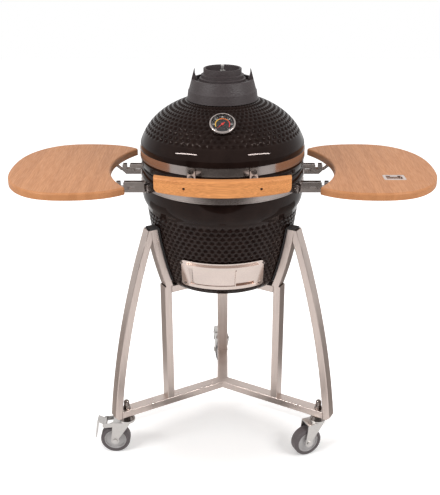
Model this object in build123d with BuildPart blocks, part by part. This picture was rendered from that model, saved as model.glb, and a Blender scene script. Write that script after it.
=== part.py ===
from build123d import *

import os
from math import atan2, cos, degrees, hypot, pi, radians, sin, sqrt

# Kamado ceramic grill on a three-legged caster stand, with two folding side shelves.
# Millimetres. The origin is on the floor under the ceramic's upright axis, +Z up,
# the handle and the ash door face -Y, and the shelves stick out along +X and -X.

os.makedirs("parts", exist_ok=True)

# ---------------------------------------------------------------- general clearances
FACE_GAP = 0.3  # between curved faces that must not touch
SKIN_GAP = 0.15  # steel bands and plates round the ceramic
RUNNING = 0.05  # radial clearance of pins and shafts
FRONT = -90.0  # azimuth of the front
REAR = 90.0

# ---------------------------------------------------------------- ceramic
PARTING_Z = 781.0
GASKET_T = 3.0
GASKET_W = 14.0
GASKET_INSET = 5.0
GASKET_GAP = 0.4
RIM_R = 207.0
RIM_WALL = 23.0
BASE_BOTTOM_Z = 474.0
BASE_FLOOR_T = 26.0
BASE_FOOT_R = 144.0
BASE_RIM_LOW_Z = 703.0
SHOULDER_ROUND = 4.0
WALL_TOP_R = 195.5
WALL_TOP_Z = 672.0
WALL_LOW_R = 156.5
WALL_LOW_Z = 488.0
WALL_BULGE = 5.0
CERAMIC_WALL = 22.0
LID_RIM_TOP_Z = 842.0
DOME_START_Z = 856.0
DOME_A = 208.5
DOME_B = 141.0
DOME_CENTRE_Z = 816.0
NECK_R = 64.0
NECK_BORE_R = 46.0
COLLAR_LOW_Z = 926.0  # the chimney collar goes right through the crown of the dome

# ---------------------------------------------------------------- fire box and grids
FIRE_BOX_WALL = 16.0
FIRE_BOX_LOW_R = 112.0
FIRE_BOX_TOP_R = 162.0
FIRE_BOX_TOP_Z = 690.0
FIRE_BOX_FLOOR_T = 18.0
ASH_DROP_R = 62.0
AIR_HOLE_R = 8.0
FIRE_BOX_SEGMENTS = 8
SEGMENT_GAP = 0.6  # expansion joints of the fire box
GRATE_R = 84.0
GRATE_T = 8.0
GRATE_SLOT_W = 9.0
GRATE_BAR_W = 7.0
GRATE_SLOTS = 7
FIRE_RING_TOP_Z = 750.0
FIRE_RING_R = 170.0
FIRE_RING_WALL = 16.0
GRID_R = 164.0
GRID_RIM_D = 6.0
GRID_WIRE_D = 4.0
GRID_WIRE_PITCH = 20.0
GRID_WIRES_EACH_SIDE = 7
GRID_LIFT = 50.0

# ---------------------------------------------------------------- top vent
CAP_BASE_R = 88.0
CAP_BEAD_R = 85.2
CAP_BEAD_Z = 966.0
CAP_STEP = 2.4
CAP_STEP_H = 4.0
CAP_RIM_R = 76.3
CAP_RIM_Z = 994.0
CAP_WALL = 6.0
DECK_Z = 986.0
DECK_T = 5.0
DECK_CONE_R = 44.0
DECK_CONE_RISE = 17.0
HUB_R = 10.0
SPINDLE_R = 4.0
SPINDLE_TOP_Z = 1028.0
SPINDLE_NUT_R = 7.0
SPINDLE_NUT_H = 6.0
WHEEL_FLANGE_R = 57.0
WHEEL_FLANGE_H = 11.0
WHEEL_MID_R = 53.0
WHEEL_MID_H = 9.0
WHEEL_RING_R = 47.2
WHEEL_RING_TOP_Z = 1020.0
WHEEL_RING_WALL = 5.0
WHEEL_WEB_T = 4.0
WINDOW_COUNT = 4
WINDOW_MID_R = 26.0
WINDOW_L = 22.0
WINDOW_W = 19.0
WINDOW_ROUND = 4.0
FIN_BASE = 13.0
FIN_TIP = 2.0
FIN_H = 23.0
FIN_T = 14.0
FIN_SINK = 4.0

# ---------------------------------------------------------------- thermometer
GAUGE_SEAT_R = 150.0
GAUGE_TILT = 55.0
BEZEL_R = 31.0
BEZEL_H = 9.0
BEZEL_LIP = 4.0
GAUGE_SEAT_GAP = 0.3
DIAL_T = 1.0
DIAL_Z = 3.0
GAUGE_PIN_R = 1.0
NEEDLE_L = 20.0
NEEDLE_TAIL = 7.0
NEEDLE_W = 2.2
NEEDLE_T = 0.6
NEEDLE_HUB_R = 3.0
NEEDLE_REST = 225.0
GLASS_T = 1.6
STEM_R = 3.0
STEM_L = 84.0
STEM_NUT_R = 8.0
STEM_NUT_T = 5.0

# ---------------------------------------------------------------- bands and handle
BAND_T = 2.0
BAND_LIP_H = 2.5  # raised lips along both edges of a band
BAND_GROOVE = 0.7
UPPER_BAND_LOW_Z = 804.5
UPPER_BAND_H = 21.0
LOWER_BAND_LOW_Z = 737.0
LOWER_BAND_H = 21.0
CLAMP_AZIMUTH = 58.0
CLAMP_EAR_OUT = 13.0
CLAMP_EAR_T = 3.0
CLAMP_EAR_GAP = 16.0
CLAMP_BOLT_R = 3.0
BOLT_HEAD_R = 5.2
BOLT_HEAD_T = 4.0
HANDLE_FRONT_Y = 255.0
HANDLE_R = 400.0
HANDLE_T = 20.0
HANDLE_H = 41.0
HANDLE_END_RISE = 5.0  # the lower edge climbs toward the ends
HANDLE_CORNER_R = 12.0
HANDLE_L = 320.0
HANDLE_LOW_Z = 768.0
HANDLE_ROUND = 5.0
HANDLE_HOLE_X = 89.0
HANDLE_HOLE_R = 3.4
HANDLE_SCREW_R = 3.0
BRACKET_AZIMUTH = 20.2
BRACKET_W = 20.0
BRACKET_T = 3.0
BRACKET_HEAD_Z = 815.0

# ---------------------------------------------------------------- rear hinge
HINGE_Y = 238.0
HINGE_Z = 790.0
HINGE_PIN_R = 4.0
HINGE_HALF_W = 42.0
HINGE_CHEEK_T = 4.0
HINGE_PLATE_T = 3.0
HINGE_EYE_R = 10.0
HINGE_SIDE_GAP = 0.5
HINGE_PLATE_SPAN = 14.0

# ---------------------------------------------------------------- shelves
SHELF_TOP_Z = 768.0
SHELF_T = 18.0
SHELF_INNER_R = 286.0
SHELF_HORN_Y = 168.0
SHELF_SHOULDER = (268.0, 195.0)
SHELF_WIDEST = (352.0, 215.0)
SHELF_SIDE_END = (454.0, 198.0)
SHELF_CORNER = (519.0, 124.0)
SHELF_OUTER_X = 541.0
SHELF_HORN_ROUND = 9.0
SHELF_EDGE_ROUND = 5.0
ARM_Y = 76.0
ARM_LOW_Z = 726.0
ARM_HIGH_Z = 752.0
ARM_TIP_X = 266.0
ARM_CHEEK_T = 2.5
ARM_INNER_W = 13.0
ARM_TIP_CHAMFER = 9.0
ARM_FLANGE_T = 3.0
ARM_FLANGE_SIDE = 9.0
NOTCH_W = 8.0
NOTCH_DEPTH = 12.0
NOTCH_FROM_TIP = 11.0
PIVOT_X = 238.0
PIVOT_Z = 737.5
PIVOT_R = 3.0
ARM_SLOT_L = 18.0
HOOK_W = 11.0
HOOK_T = 5.0
HOOK_EYE_R = 5.5
HOOK_BEND_X = 270.0
HOOK_BEND_RUN = 12.0
HOOK_END_X = 372.0
HOOK_SCREW_R = 2.0
OPENER_X = 424.0
OPENER_Y = -92.0
OPENER_L = 54.0
OPENER_W = 40.0
OPENER_RIM = 4.5
OPENER_DEPTH = 9.0
OPENER_FLANGE_T = 1.2
OPENER_SUNK = 0.2  # the flange lies just below the shelf's top
OPENER_FIT = 0.2
OPENER_ROUND = 4.0
OPENER_CORNER_R = 5.0

# ---------------------------------------------------------------- ash door
DOOR_LOW_Z = 494.0
DOOR_HIGH_Z = 573.0
DOOR_HALF_SPAN = 37.4
DOOR_CORNER_R = 9.0
FRAME_SEAT = 0.9
FRAME_T = 2.0
RAIL_UP = 29.5
RAIL_H = 4.0
RAIL_LIP = 4.0
RAIL_LIP_T = 1.4
RAIL_HALF_SPAN = 29.5
PANEL_T = 1.2
PANEL_GAP = 0.6
PANEL_EDGE_GAP = 0.5
ASH_HOLE_MIDDLE = -8.0
ASH_HOLE_HALF_SPAN = 10.5
ASH_HOLE_LOW_Z = 508.0
ASH_HOLE_HIGH_Z = 548.0
DOOR_FROM = -24.6
DOOR_TO = 10.9
SCREEN_FROM = -28.6
SCREEN_TO = 7.3
PANEL_TRAVEL = 15.0
PANEL_TAB_OUT = 5.0
PANEL_TAB_SPAN = 0.6
SCREEN_HOLES_X = -48.0
SCREEN_HOLE_R = 1.5
SCREEN_HOLE_PITCH = 5.0
SCREEN_HOLE_ROWS = 8
SCREEN_HOLE_COLUMNS = 12
DOOR_SCREW_R = 3.2
DOOR_SCREW_T = 1.6
DOOR_SCREW_INSET = 8.0

# ---------------------------------------------------------------- stand
LEG_COUNT = 3
FIRST_LEG = -30.0
TUBE_W = 30.0
TUBE_H = 20.0
TUBE_WALL = 1.5
TUBE_CORNER_R = 2.0
SPOKE_LOW_Z = 113.0
UPRIGHT_R = 171.0
UPRIGHT_TOP_Z = 472.0
PAD_T = 4.0
APEX_Z = 637.0
LEG_TOP_R = 222.0
LEG_TOP_Z = 637.0
LEG_FOOT_R = 339.0
LEG_BOW = 16.5
FOOT_CHAMFER = 10.0
MITRE_GAP = 0.05
PLUG_T = 3.0

# ---------------------------------------------------------------- casters
CASTER_R = 299.0
WHEEL_R = 40.0
WHEEL_W = 28.0
WHEEL_HUB_R = 30.0
WHEEL_HUB_W = 24.0
TYRE_ROUND = 5.0
TRAIL = 34.0
AXLE_R = 4.0
AXLE_HEAD_R = 7.0
AXLE_HEAD_T = 3.0
FORK_T = 2.5
FORK_INNER_W = 34.0
FORK_TOP_Z = 97.0
FORK_BACK_X = -20.0
FORK_FRONT_X = 38.0
FORK_EYE_R = 11.0
RACE_R = 21.0
RACE_LOW_T = 4.5
RACE_GAP = 0.3
RACE_BORE = 0.6
STEM_BOLT_R = 5.0
STEM_HEX_R = 9.0
STEM_HEX_H = 8.0
STEM_WASHER_R = 10.5
STEM_WASHER_T = 1.6
STEM_DOME_R = 7.5
STEM_DOME_H = 17.0
BRAKE_ARM_X = 60.0
BRAKE_ARM_Z = 88.0
BRAKE_EAR_R = 6.0
BRAKE_PIN_R = 3.0
BRAKE_FLAP_X = 80.0
BRAKE_FLAP_Z = 101.0
BRAKE_TIP_X = 85.0
BRAKE_TIP_Z = 48.0
BRAKE_T = 2.5
BRAKE_W = 30.0
BRAKE_TRAVEL = 12.0
CASTERS = {"left": (210.0, 180.0, True), "right": (-30.0, 204.0, False), "rear": (90.0, 100.0, True)}


# ---------------------------------------------------------------- shared geometry
def radial_plane(azimuth):
    """Upright plane through the axis; its x runs outward and its y runs up."""
    turn = radians(azimuth)
    return Plane(origin=(0, 0, 0), x_dir=(cos(turn), sin(turn), 0), z_dir=(sin(turn), -cos(turn), 0))


def bulged(start, end, bulge):
    """Middle point of a shallow arc that bulges to the right of start -> end."""
    run, rise = end[0] - start[0], end[1] - start[1]
    length = hypot(run, rise)
    middle_x = (start[0] + end[0]) / 2 + bulge * rise / length
    middle_y = (start[1] + end[1]) / 2 - bulge * run / length
    return (middle_x, middle_y)


def arc_radius(start, end, bulge):
    """Radius of the arc that bulged() describes."""
    chord = hypot(end[0] - start[0], end[1] - start[1])
    return (chord**2 / 4 + bulge**2) / (2 * bulge)


def arc_centre(start, end, bulge):
    """Centre of the arc that bulged() describes."""
    return bulged(start, end, bulge - arc_radius(start, end, bulge))


def on_arc(centre, radius, height):
    """Outward distance at which an arc reaches a height."""
    return centre[0] + sqrt(radius**2 - (height - centre[1]) ** 2)


WALL_LOW = (WALL_LOW_R, WALL_LOW_Z)
WALL_TOP = (WALL_TOP_R, WALL_TOP_Z)
WALL_ARC_R = arc_radius(WALL_LOW, WALL_TOP, WALL_BULGE)
WALL_CENTRE = arc_centre(WALL_LOW, WALL_TOP, WALL_BULGE)
BASE_RIM_TOP_Z = PARTING_Z - GASKET_GAP / 2 - GASKET_T
LID_RIM_LOW_Z = PARTING_Z + GASKET_GAP / 2 + GASKET_T
BAND_IN_R = RIM_R + SKIN_GAP
BAND_OUT_R = BAND_IN_R + BAND_T
PLATE_IN_R = BAND_OUT_R + SKIN_GAP
OPENER_SEAT_Z = SHELF_TOP_Z - OPENER_SUNK - OPENER_FLANGE_T


NECK_TOP_Z = DECK_Z - DECK_T  # the cap's deck rests on the chimney neck


def dome_z(radius, inset=0.0):
    """Height of the dome's outside at a radius, or of its inside for an inset."""
    return DOME_CENTRE_Z + (DOME_B - inset) * sqrt(1 - (radius / (DOME_A - inset)) ** 2)


def dome_angle(radius, inset=0.0):
    """Ellipse parameter, in degrees, where the dome has a radius."""
    return degrees(atan2(sqrt(1 - (radius / (DOME_A - inset)) ** 2), radius / (DOME_A - inset)))


def ring(inner_r, outer_r, low_z, height):
    """Plain ring about the axis, added to the open part."""
    with BuildSketch(Plane.XY.offset(low_z)) as ring_plan:
        Circle(outer_r)
        Circle(inner_r, mode=Mode.SUBTRACT)
    extrude(to_extrude=ring_plan.sketch, amount=height)


def band_ring(low_z, height):
    """Steel band about the ceramic rim with a raised lip along each edge."""
    ring(BAND_IN_R, BAND_OUT_R, low_z, height)
    with BuildSketch(Plane.XY.offset(low_z + BAND_LIP_H)) as groove:
        Circle(BAND_OUT_R + BAND_GROOVE)
        Circle(BAND_OUT_R - BAND_GROOVE, mode=Mode.SUBTRACT)
    extrude(to_extrude=groove.sketch, amount=height - 2 * BAND_LIP_H, mode=Mode.SUBTRACT)


def ring_sector(inner_r, outer_r, low_z, high_z, azimuth, half_span, mode=Mode.ADD):
    """Curved plate about the axis, centred on an azimuth, added to the open part."""
    with BuildSketch(radial_plane(azimuth - half_span)) as section:
        with Locations(((inner_r + outer_r) / 2, (low_z + high_z) / 2)):
            Rectangle(outer_r - inner_r, high_z - low_z)
    revolve(profiles=section.sketch, axis=Axis.Z, revolution_arc=2 * half_span, mode=mode)


def finish(piece, name):
    """Label a finished piece and write its STEP file."""
    piece.part.label = name
    export_step(piece.part, f"parts/{name}.step")


# ---------------------------------------------------------------- base
BASE_INNER_FOOT_R = WALL_LOW_R - CERAMIC_WALL - 8.0
BASE_INNER_TOP = (RIM_R - RIM_WALL, BASE_RIM_LOW_Z)
BASE_INNER_LOW = (BASE_INNER_FOOT_R, BASE_BOTTOM_Z + BASE_FLOOR_T)

with BuildPart() as base_shell:
    with BuildSketch(Plane.XZ) as base_section:
        with BuildLine():
            foot = Line((0, BASE_BOTTOM_Z), (BASE_FOOT_R, BASE_BOTTOM_Z))
            corner = ThreePointArc(foot @ 1, (WALL_LOW_R - 4.0, BASE_BOTTOM_Z + 4.5), WALL_LOW)
            wall = ThreePointArc(corner @ 1, bulged(WALL_LOW, WALL_TOP, WALL_BULGE), WALL_TOP)
            neck = Line(wall @ 1, (WALL_TOP_R + 1.5, WALL_TOP_Z + 6.0))
            shoulder = ThreePointArc(
                neck @ 1, (RIM_R - SHOULDER_ROUND, BASE_RIM_LOW_Z - 15.0), (RIM_R, BASE_RIM_LOW_Z)
            )
            rim = Line(shoulder @ 1, (RIM_R, BASE_RIM_TOP_Z))
            lip = Line(rim @ 1, (RIM_R - RIM_WALL, BASE_RIM_TOP_Z))
            inside = Line(lip @ 1, BASE_INNER_TOP)
            bowl = ThreePointArc(
                inside @ 1, bulged(BASE_INNER_LOW, BASE_INNER_TOP, WALL_BULGE), BASE_INNER_LOW
            )
            floor = Line(bowl @ 1, (0, BASE_BOTTOM_Z + BASE_FLOOR_T))
            Line(floor @ 1, foot @ 0)
        make_face()
    revolve(axis=Axis.Z)
    ring_sector(
        BASE_INNER_FOOT_R - 30.0,
        RIM_R,
        ASH_HOLE_LOW_Z,
        ASH_HOLE_HIGH_Z,
        FRONT + ASH_HOLE_MIDDLE,
        ASH_HOLE_HALF_SPAN,
        mode=Mode.SUBTRACT,
    )
finish(base_shell, "base_shell")

with BuildPart() as base_gasket:
    ring(RIM_R - GASKET_INSET - GASKET_W, RIM_R - GASKET_INSET, BASE_RIM_TOP_Z, GASKET_T)
finish(base_gasket, "base_gasket")

# ---------------------------------------------------------------- fire box and grids
FIRE_BOX_LOW_Z = BASE_BOTTOM_Z + BASE_FLOOR_T
FIRE_BOX_FLOOR_Z = FIRE_BOX_LOW_Z + FIRE_BOX_FLOOR_T

with BuildPart() as fire_box:
    with BuildSketch(Plane.XZ):
        with BuildLine():
            Polyline(
                (ASH_DROP_R, FIRE_BOX_LOW_Z),
                (FIRE_BOX_LOW_R, FIRE_BOX_LOW_Z),
                (FIRE_BOX_TOP_R, FIRE_BOX_TOP_Z),
                (FIRE_BOX_TOP_R - FIRE_BOX_WALL, FIRE_BOX_TOP_Z),
                (FIRE_BOX_LOW_R - FIRE_BOX_WALL, FIRE_BOX_FLOOR_Z),
                (ASH_DROP_R, FIRE_BOX_FLOOR_Z),
                close=True,
            )
        make_face()
    revolve(axis=Axis.Z)
    ring_sector(
        ASH_DROP_R - 10.0,
        FIRE_BOX_TOP_R,
        FIRE_BOX_LOW_Z - 1.0,
        ASH_HOLE_HIGH_Z,
        FRONT + ASH_HOLE_MIDDLE,
        ASH_HOLE_HALF_SPAN + 6.0,
        mode=Mode.SUBTRACT,
    )
    with Locations((0, 0, (FIRE_BOX_FLOOR_Z + FIRE_BOX_TOP_Z) / 2 - 40.0)):
        with PolarLocations(FIRE_BOX_LOW_R + 4.0, FIRE_BOX_SEGMENTS, start_angle=180.0 / FIRE_BOX_SEGMENTS):
            Cylinder(AIR_HOLE_R, 3 * FIRE_BOX_WALL, rotation=(0, 90, 0), mode=Mode.SUBTRACT)
    with BuildSketch(Plane.XY.offset(FIRE_BOX_LOW_Z)):
        with PolarLocations(0, FIRE_BOX_SEGMENTS // 2, angular_range=180):
            Rectangle(3 * FIRE_BOX_TOP_R, SEGMENT_GAP)
    extrude(amount=FIRE_BOX_TOP_Z - FIRE_BOX_LOW_Z, mode=Mode.SUBTRACT)
finish(fire_box, "fire_box")

with BuildPart() as charcoal_grate:
    with BuildSketch(Plane.XY.offset(FIRE_BOX_FLOOR_Z)):
        Circle(GRATE_R)
        for column in range(-(GRATE_SLOTS // 2), GRATE_SLOTS // 2 + 1):
            offset_x = column * (GRATE_SLOT_W + GRATE_BAR_W)
            slot_length = 2 * (sqrt(GRATE_R**2 - offset_x**2) - 2 * GRATE_BAR_W)
            with Locations((offset_x, 0)):
                SlotOverall(slot_length, GRATE_SLOT_W, rotation=90, mode=Mode.SUBTRACT)
    extrude(amount=GRATE_T)
finish(charcoal_grate, "charcoal_grate")

with BuildPart() as fire_ring:
    ring(FIRE_RING_R - FIRE_RING_WALL, FIRE_RING_R, FIRE_BOX_TOP_Z, FIRE_RING_TOP_Z - FIRE_BOX_TOP_Z)
finish(fire_ring, "fire_ring")

GRID_Z = FIRE_RING_TOP_Z + GRID_RIM_D / 2
with BuildPart() as cooking_grid:
    with BuildSketch(Plane.XZ):
        with Locations((GRID_R - GRID_RIM_D / 2, GRID_Z)):
            RegularPolygon(GRID_RIM_D / 2, 8, rotation=22.5)
    revolve(axis=Axis.Z)
    for row in range(-GRID_WIRES_EACH_SIDE, GRID_WIRES_EACH_SIDE + 1):
        offset_x = row * GRID_WIRE_PITCH
        wire_length = 2 * sqrt((GRID_R - GRID_RIM_D / 2) ** 2 - offset_x**2)
        with BuildSketch(Plane.XZ.offset(-wire_length / 2)) as wire_end:
            with Locations((offset_x, GRID_Z)):
                RegularPolygon(GRID_WIRE_D / 2, 6)
        extrude(to_extrude=wire_end.sketch, amount=wire_length)
    for side in (-1, 1):
        cross_y = side * GRID_R / 2
        cross_length = 2 * sqrt((GRID_R - GRID_RIM_D / 2) ** 2 - cross_y**2)
        with BuildSketch(Plane.YZ.offset(-cross_length / 2)) as cross_end:
            with Locations((cross_y, GRID_Z - GRID_WIRE_D / 4)):
                RegularPolygon(GRID_WIRE_D / 2, 6)
        extrude(to_extrude=cross_end.sketch, amount=cross_length)
finish(cooking_grid, "cooking_grid")

# ---------------------------------------------------------------- lid
GAUGE_SEAT_Z = dome_z(GAUGE_SEAT_R)
gauge_turn = radians(GAUGE_TILT)
gauge_plane = Plane(
    origin=(0, -GAUGE_SEAT_R, GAUGE_SEAT_Z),
    x_dir=(1, 0, 0),
    z_dir=(0, -cos(gauge_turn), sin(gauge_turn)),
)
dome_start_r = DOME_A * sqrt(1 - ((DOME_START_Z - DOME_CENTRE_Z) / DOME_B) ** 2)

with BuildPart() as lid_shell:
    with BuildSketch(Plane.XZ):
        with BuildLine():
            rim = Line((RIM_R, LID_RIM_LOW_Z), (RIM_R, LID_RIM_TOP_Z))
            shoulder = ThreePointArc(
                rim @ 1, (RIM_R - 1.5, LID_RIM_TOP_Z + 9.0), (dome_start_r, DOME_START_Z)
            )
            dome = EllipticalCenterArc(
                (0, DOME_CENTRE_Z),
                DOME_A,
                DOME_B,
                dome_angle(dome_start_r),
                arc_size=dome_angle(NECK_R) - dome_angle(dome_start_r),
            )
            inner_dome = EllipticalCenterArc(
                (0, DOME_CENTRE_Z),
                DOME_A - CERAMIC_WALL,
                DOME_B - CERAMIC_WALL,
                0,
                arc_size=dome_angle(NECK_R, CERAMIC_WALL),
            )
            Line(dome @ 1, inner_dome @ 1)
            skirt = Line(inner_dome @ 0, (RIM_R - RIM_WALL, LID_RIM_LOW_Z))
            Line(skirt @ 1, rim @ 0)
        make_face()
    revolve(axis=Axis.Z)
    with BuildSketch(gauge_plane.offset(BEZEL_H)) as stem_hole:
        Circle(STEM_R + RUNNING)
    extrude(to_extrude=stem_hole.sketch, amount=-(BEZEL_H + 2 * CERAMIC_WALL), mode=Mode.SUBTRACT)
finish(lid_shell, "lid_shell")

with BuildPart() as chimney_collar:
    ring(NECK_BORE_R, NECK_R, COLLAR_LOW_Z, NECK_TOP_Z - COLLAR_LOW_Z)
finish(chimney_collar, "chimney_collar")

with BuildPart() as lid_gasket:
    ring(
        RIM_R - GASKET_INSET - GASKET_W, RIM_R - GASKET_INSET, LID_RIM_LOW_Z - GASKET_T, GASKET_T
    )
finish(lid_gasket, "lid_gasket")

# ---------------------------------------------------------------- top vent
CAP_INNER_BASE_R = CAP_BASE_R - CAP_WALL
CAP_INNER_RIM_R = CAP_RIM_R - CAP_WALL
cap_slope = (CAP_BEAD_R - CAP_STEP - CAP_RIM_R) / (CAP_RIM_Z - CAP_BEAD_Z - CAP_STEP_H)


def cap_outside(height):
    """Outside radius of the cap's upper cone, carried on up into the fins."""
    return CAP_RIM_R - cap_slope * (height - CAP_RIM_Z)


def windows(low_z, height, start_angle):
    """Cut the rounded vent windows through the open part."""
    with BuildSketch(Plane.XY.offset(low_z)) as window_plan:
        with PolarLocations(WINDOW_MID_R, WINDOW_COUNT, start_angle=start_angle):
            RectangleRounded(WINDOW_L, WINDOW_W, WINDOW_ROUND)
    extrude(to_extrude=window_plan.sketch, amount=height, mode=Mode.SUBTRACT)


with BuildPart() as vent_cap:
    with BuildSketch(Plane.XZ):
        with BuildLine():
            Polyline(
                (CAP_INNER_BASE_R, dome_z(CAP_INNER_BASE_R) + FACE_GAP),
                (CAP_BASE_R, dome_z(CAP_BASE_R) + FACE_GAP),
                (CAP_BEAD_R, CAP_BEAD_Z),
                (CAP_BEAD_R - CAP_STEP, CAP_BEAD_Z + CAP_STEP_H),
                (CAP_RIM_R, CAP_RIM_Z),
                (CAP_INNER_RIM_R, CAP_RIM_Z),
                (CAP_INNER_RIM_R + 1.0, DECK_Z),
                (DECK_CONE_R, DECK_Z),
                (HUB_R, DECK_Z + DECK_CONE_RISE),
                (SPINDLE_R, DECK_Z + DECK_CONE_RISE),
                (SPINDLE_R, DECK_Z + DECK_CONE_RISE - DECK_T),
                (HUB_R, DECK_Z + DECK_CONE_RISE - DECK_T),
                (DECK_CONE_R, DECK_Z - DECK_T),
                (CAP_BEAD_R - CAP_WALL - CAP_STEP, DECK_Z - DECK_T),
                close=True,
            )
        make_face()
    revolve(axis=Axis.Z)
    windows(DECK_Z - DECK_T, DECK_T + DECK_CONE_RISE, 0)
    for azimuth in (0, 180):
        with BuildSketch(radial_plane(azimuth)) as fin:
            with BuildLine():
                tip_z = CAP_RIM_Z + FIN_H
                low_z = CAP_RIM_Z - FIN_SINK
                outer = Polyline(
                    (cap_outside(low_z) - 1.0, low_z),
                    (cap_outside(CAP_RIM_Z), CAP_RIM_Z),
                    (cap_outside(tip_z), tip_z),
                    (cap_outside(tip_z) - FIN_TIP, tip_z),
                )
                inner_tip = (cap_outside(tip_z) - FIN_TIP, tip_z)
                inner_foot = (CAP_RIM_R - FIN_BASE, CAP_RIM_Z)
                blade = ThreePointArc(inner_tip, bulged(inner_tip, inner_foot, -FIN_TIP), inner_foot)
                Polyline(blade @ 1, (CAP_INNER_RIM_R + 0.5, low_z), outer @ 0)
            make_face()
        extrude(to_extrude=fin.sketch, amount=FIN_T / 2, both=True)
finish(vent_cap, "vent_cap")

with BuildPart() as vent_wheel:
    flange_z = DECK_Z + FACE_GAP
    mid_z = flange_z + WHEEL_FLANGE_H
    ring_z = mid_z + WHEEL_MID_H
    web_low_z = DECK_Z + DECK_CONE_RISE + 2 * FACE_GAP
    with BuildSketch(Plane.XZ):
        with BuildLine():
            Polyline(
                (SPINDLE_R + RUNNING, web_low_z),
                (HUB_R, web_low_z),
                (DECK_CONE_R + 1.0, flange_z),
                (WHEEL_FLANGE_R, flange_z),
                (WHEEL_FLANGE_R, mid_z - 2.0),
                (WHEEL_MID_R, mid_z),
                (WHEEL_MID_R, ring_z - 2.0),
                (WHEEL_RING_R, ring_z),
                (WHEEL_RING_R, WHEEL_RING_TOP_Z - 1.0),
                (WHEEL_RING_R - 1.5, WHEEL_RING_TOP_Z),
                (WHEEL_RING_R - WHEEL_RING_WALL, WHEEL_RING_TOP_Z - 1.0),
                (WHEEL_RING_R - WHEEL_RING_WALL, flange_z + WHEEL_WEB_T),
                (HUB_R, web_low_z + WHEEL_WEB_T),
                (SPINDLE_R + RUNNING, web_low_z + WHEEL_WEB_T),
                close=True,
            )
        make_face()
    revolve(axis=Axis.Z)
    windows(DECK_Z, WHEEL_RING_TOP_Z - DECK_Z, 180 / WINDOW_COUNT)
finish(vent_wheel, "vent_wheel")

with BuildPart() as vent_spindle:
    spindle_low_z = DECK_Z + DECK_CONE_RISE - DECK_T - SPINDLE_NUT_H
    nut_z = DECK_Z + DECK_CONE_RISE + 3 * FACE_GAP + WHEEL_WEB_T
    with BuildSketch(Plane.XY.offset(spindle_low_z)):
        Circle(SPINDLE_R)
    extrude(amount=SPINDLE_TOP_Z - spindle_low_z)
    fillet(vent_spindle.edges().group_by(Axis.Z)[-1], 2.0)
    with BuildSketch(Plane.XY.offset(spindle_low_z)):
        RegularPolygon(SPINDLE_NUT_R, 6)
    extrude(amount=SPINDLE_NUT_H)
    with BuildSketch(Plane.XY.offset(nut_z)):
        RegularPolygon(SPINDLE_NUT_R, 6)
    extrude(amount=SPINDLE_NUT_H)
finish(vent_spindle, "vent_spindle")

# ---------------------------------------------------------------- thermometer
with BuildPart() as gauge_bezel:
    with BuildSketch(gauge_plane.offset(GAUGE_SEAT_GAP)):
        Circle(BEZEL_R)
    extrude(amount=BEZEL_H)
    fillet(gauge_bezel.edges().group_by(Axis(gauge_plane.origin, gauge_plane.z_dir))[-1], 3.0)
    with BuildSketch(gauge_plane.offset(GAUGE_SEAT_GAP + DIAL_Z - DIAL_T)):
        Circle(BEZEL_R - BEZEL_LIP)
    extrude(amount=BEZEL_H, mode=Mode.SUBTRACT)
    with BuildSketch(gauge_plane):
        Circle(STEM_R)
    extrude(amount=BEZEL_H, mode=Mode.SUBTRACT)
finish(gauge_bezel, "gauge_bezel")

with BuildPart() as gauge_dial:
    with BuildSketch(gauge_plane.offset(GAUGE_SEAT_GAP + DIAL_Z - DIAL_T)):
        Circle(BEZEL_R - BEZEL_LIP)
        Circle(GAUGE_PIN_R + RUNNING, mode=Mode.SUBTRACT)
    extrude(amount=DIAL_T)
finish(gauge_dial, "gauge_dial")

NEEDLE_Z = GAUGE_SEAT_GAP + DIAL_Z + 0.8
with BuildPart() as gauge_needle:
    with BuildSketch(gauge_plane.offset(NEEDLE_Z)):
        pointer = radians(NEEDLE_REST)
        side_turn = pointer + pi / 2
        half_x, half_y = NEEDLE_W / 2 * cos(side_turn), NEEDLE_W / 2 * sin(side_turn)
        with BuildLine():
            Polyline(
                (NEEDLE_L * cos(pointer), NEEDLE_L * sin(pointer)),
                (half_x, half_y),
                (half_x - NEEDLE_TAIL * cos(pointer), half_y - NEEDLE_TAIL * sin(pointer)),
                (-half_x - NEEDLE_TAIL * cos(pointer), -half_y - NEEDLE_TAIL * sin(pointer)),
                (-half_x, -half_y),
                close=True,
            )
        make_face()
        Circle(NEEDLE_HUB_R)
    extrude(amount=NEEDLE_T)
    with BuildSketch(gauge_plane.offset(NEEDLE_Z)):
        Circle(GAUGE_PIN_R)
    extrude(amount=-(NEEDLE_Z - GAUGE_SEAT_GAP - DIAL_Z + DIAL_T / 2))
finish(gauge_needle, "gauge_needle")

with BuildPart() as gauge_glass:
    with BuildSketch(gauge_plane.offset(GAUGE_SEAT_GAP + BEZEL_H - 1.5 - GLASS_T)):
        Circle(BEZEL_R - BEZEL_LIP)
    extrude(amount=GLASS_T)
finish(gauge_glass, "gauge_glass")

with BuildPart() as gauge_stem:
    with BuildSketch(gauge_plane.offset(GAUGE_SEAT_GAP + DIAL_Z - DIAL_T)):
        Circle(STEM_R)
    extrude(amount=-STEM_L)
    with BuildSketch(gauge_plane.offset(-CERAMIC_WALL - 2.0)):
        RegularPolygon(STEM_NUT_R, 6)
    extrude(amount=-STEM_NUT_T)
finish(gauge_stem, "gauge_stem")

# ---------------------------------------------------------------- bands
with BuildPart() as upper_band:
    band_ring(UPPER_BAND_LOW_Z, UPPER_BAND_H)
finish(upper_band, "upper_band")


def clamp_plane(azimuth, along):
    """Plane across the band at an azimuth, shifted along the band's tangent."""
    turn = radians(azimuth)
    return Plane(
        origin=(BAND_OUT_R * cos(turn) - along * sin(turn), BAND_OUT_R * sin(turn) + along * cos(turn), 0),
        x_dir=(cos(turn), sin(turn), 0),
        z_dir=(-sin(turn), cos(turn), 0),
    )


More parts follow.
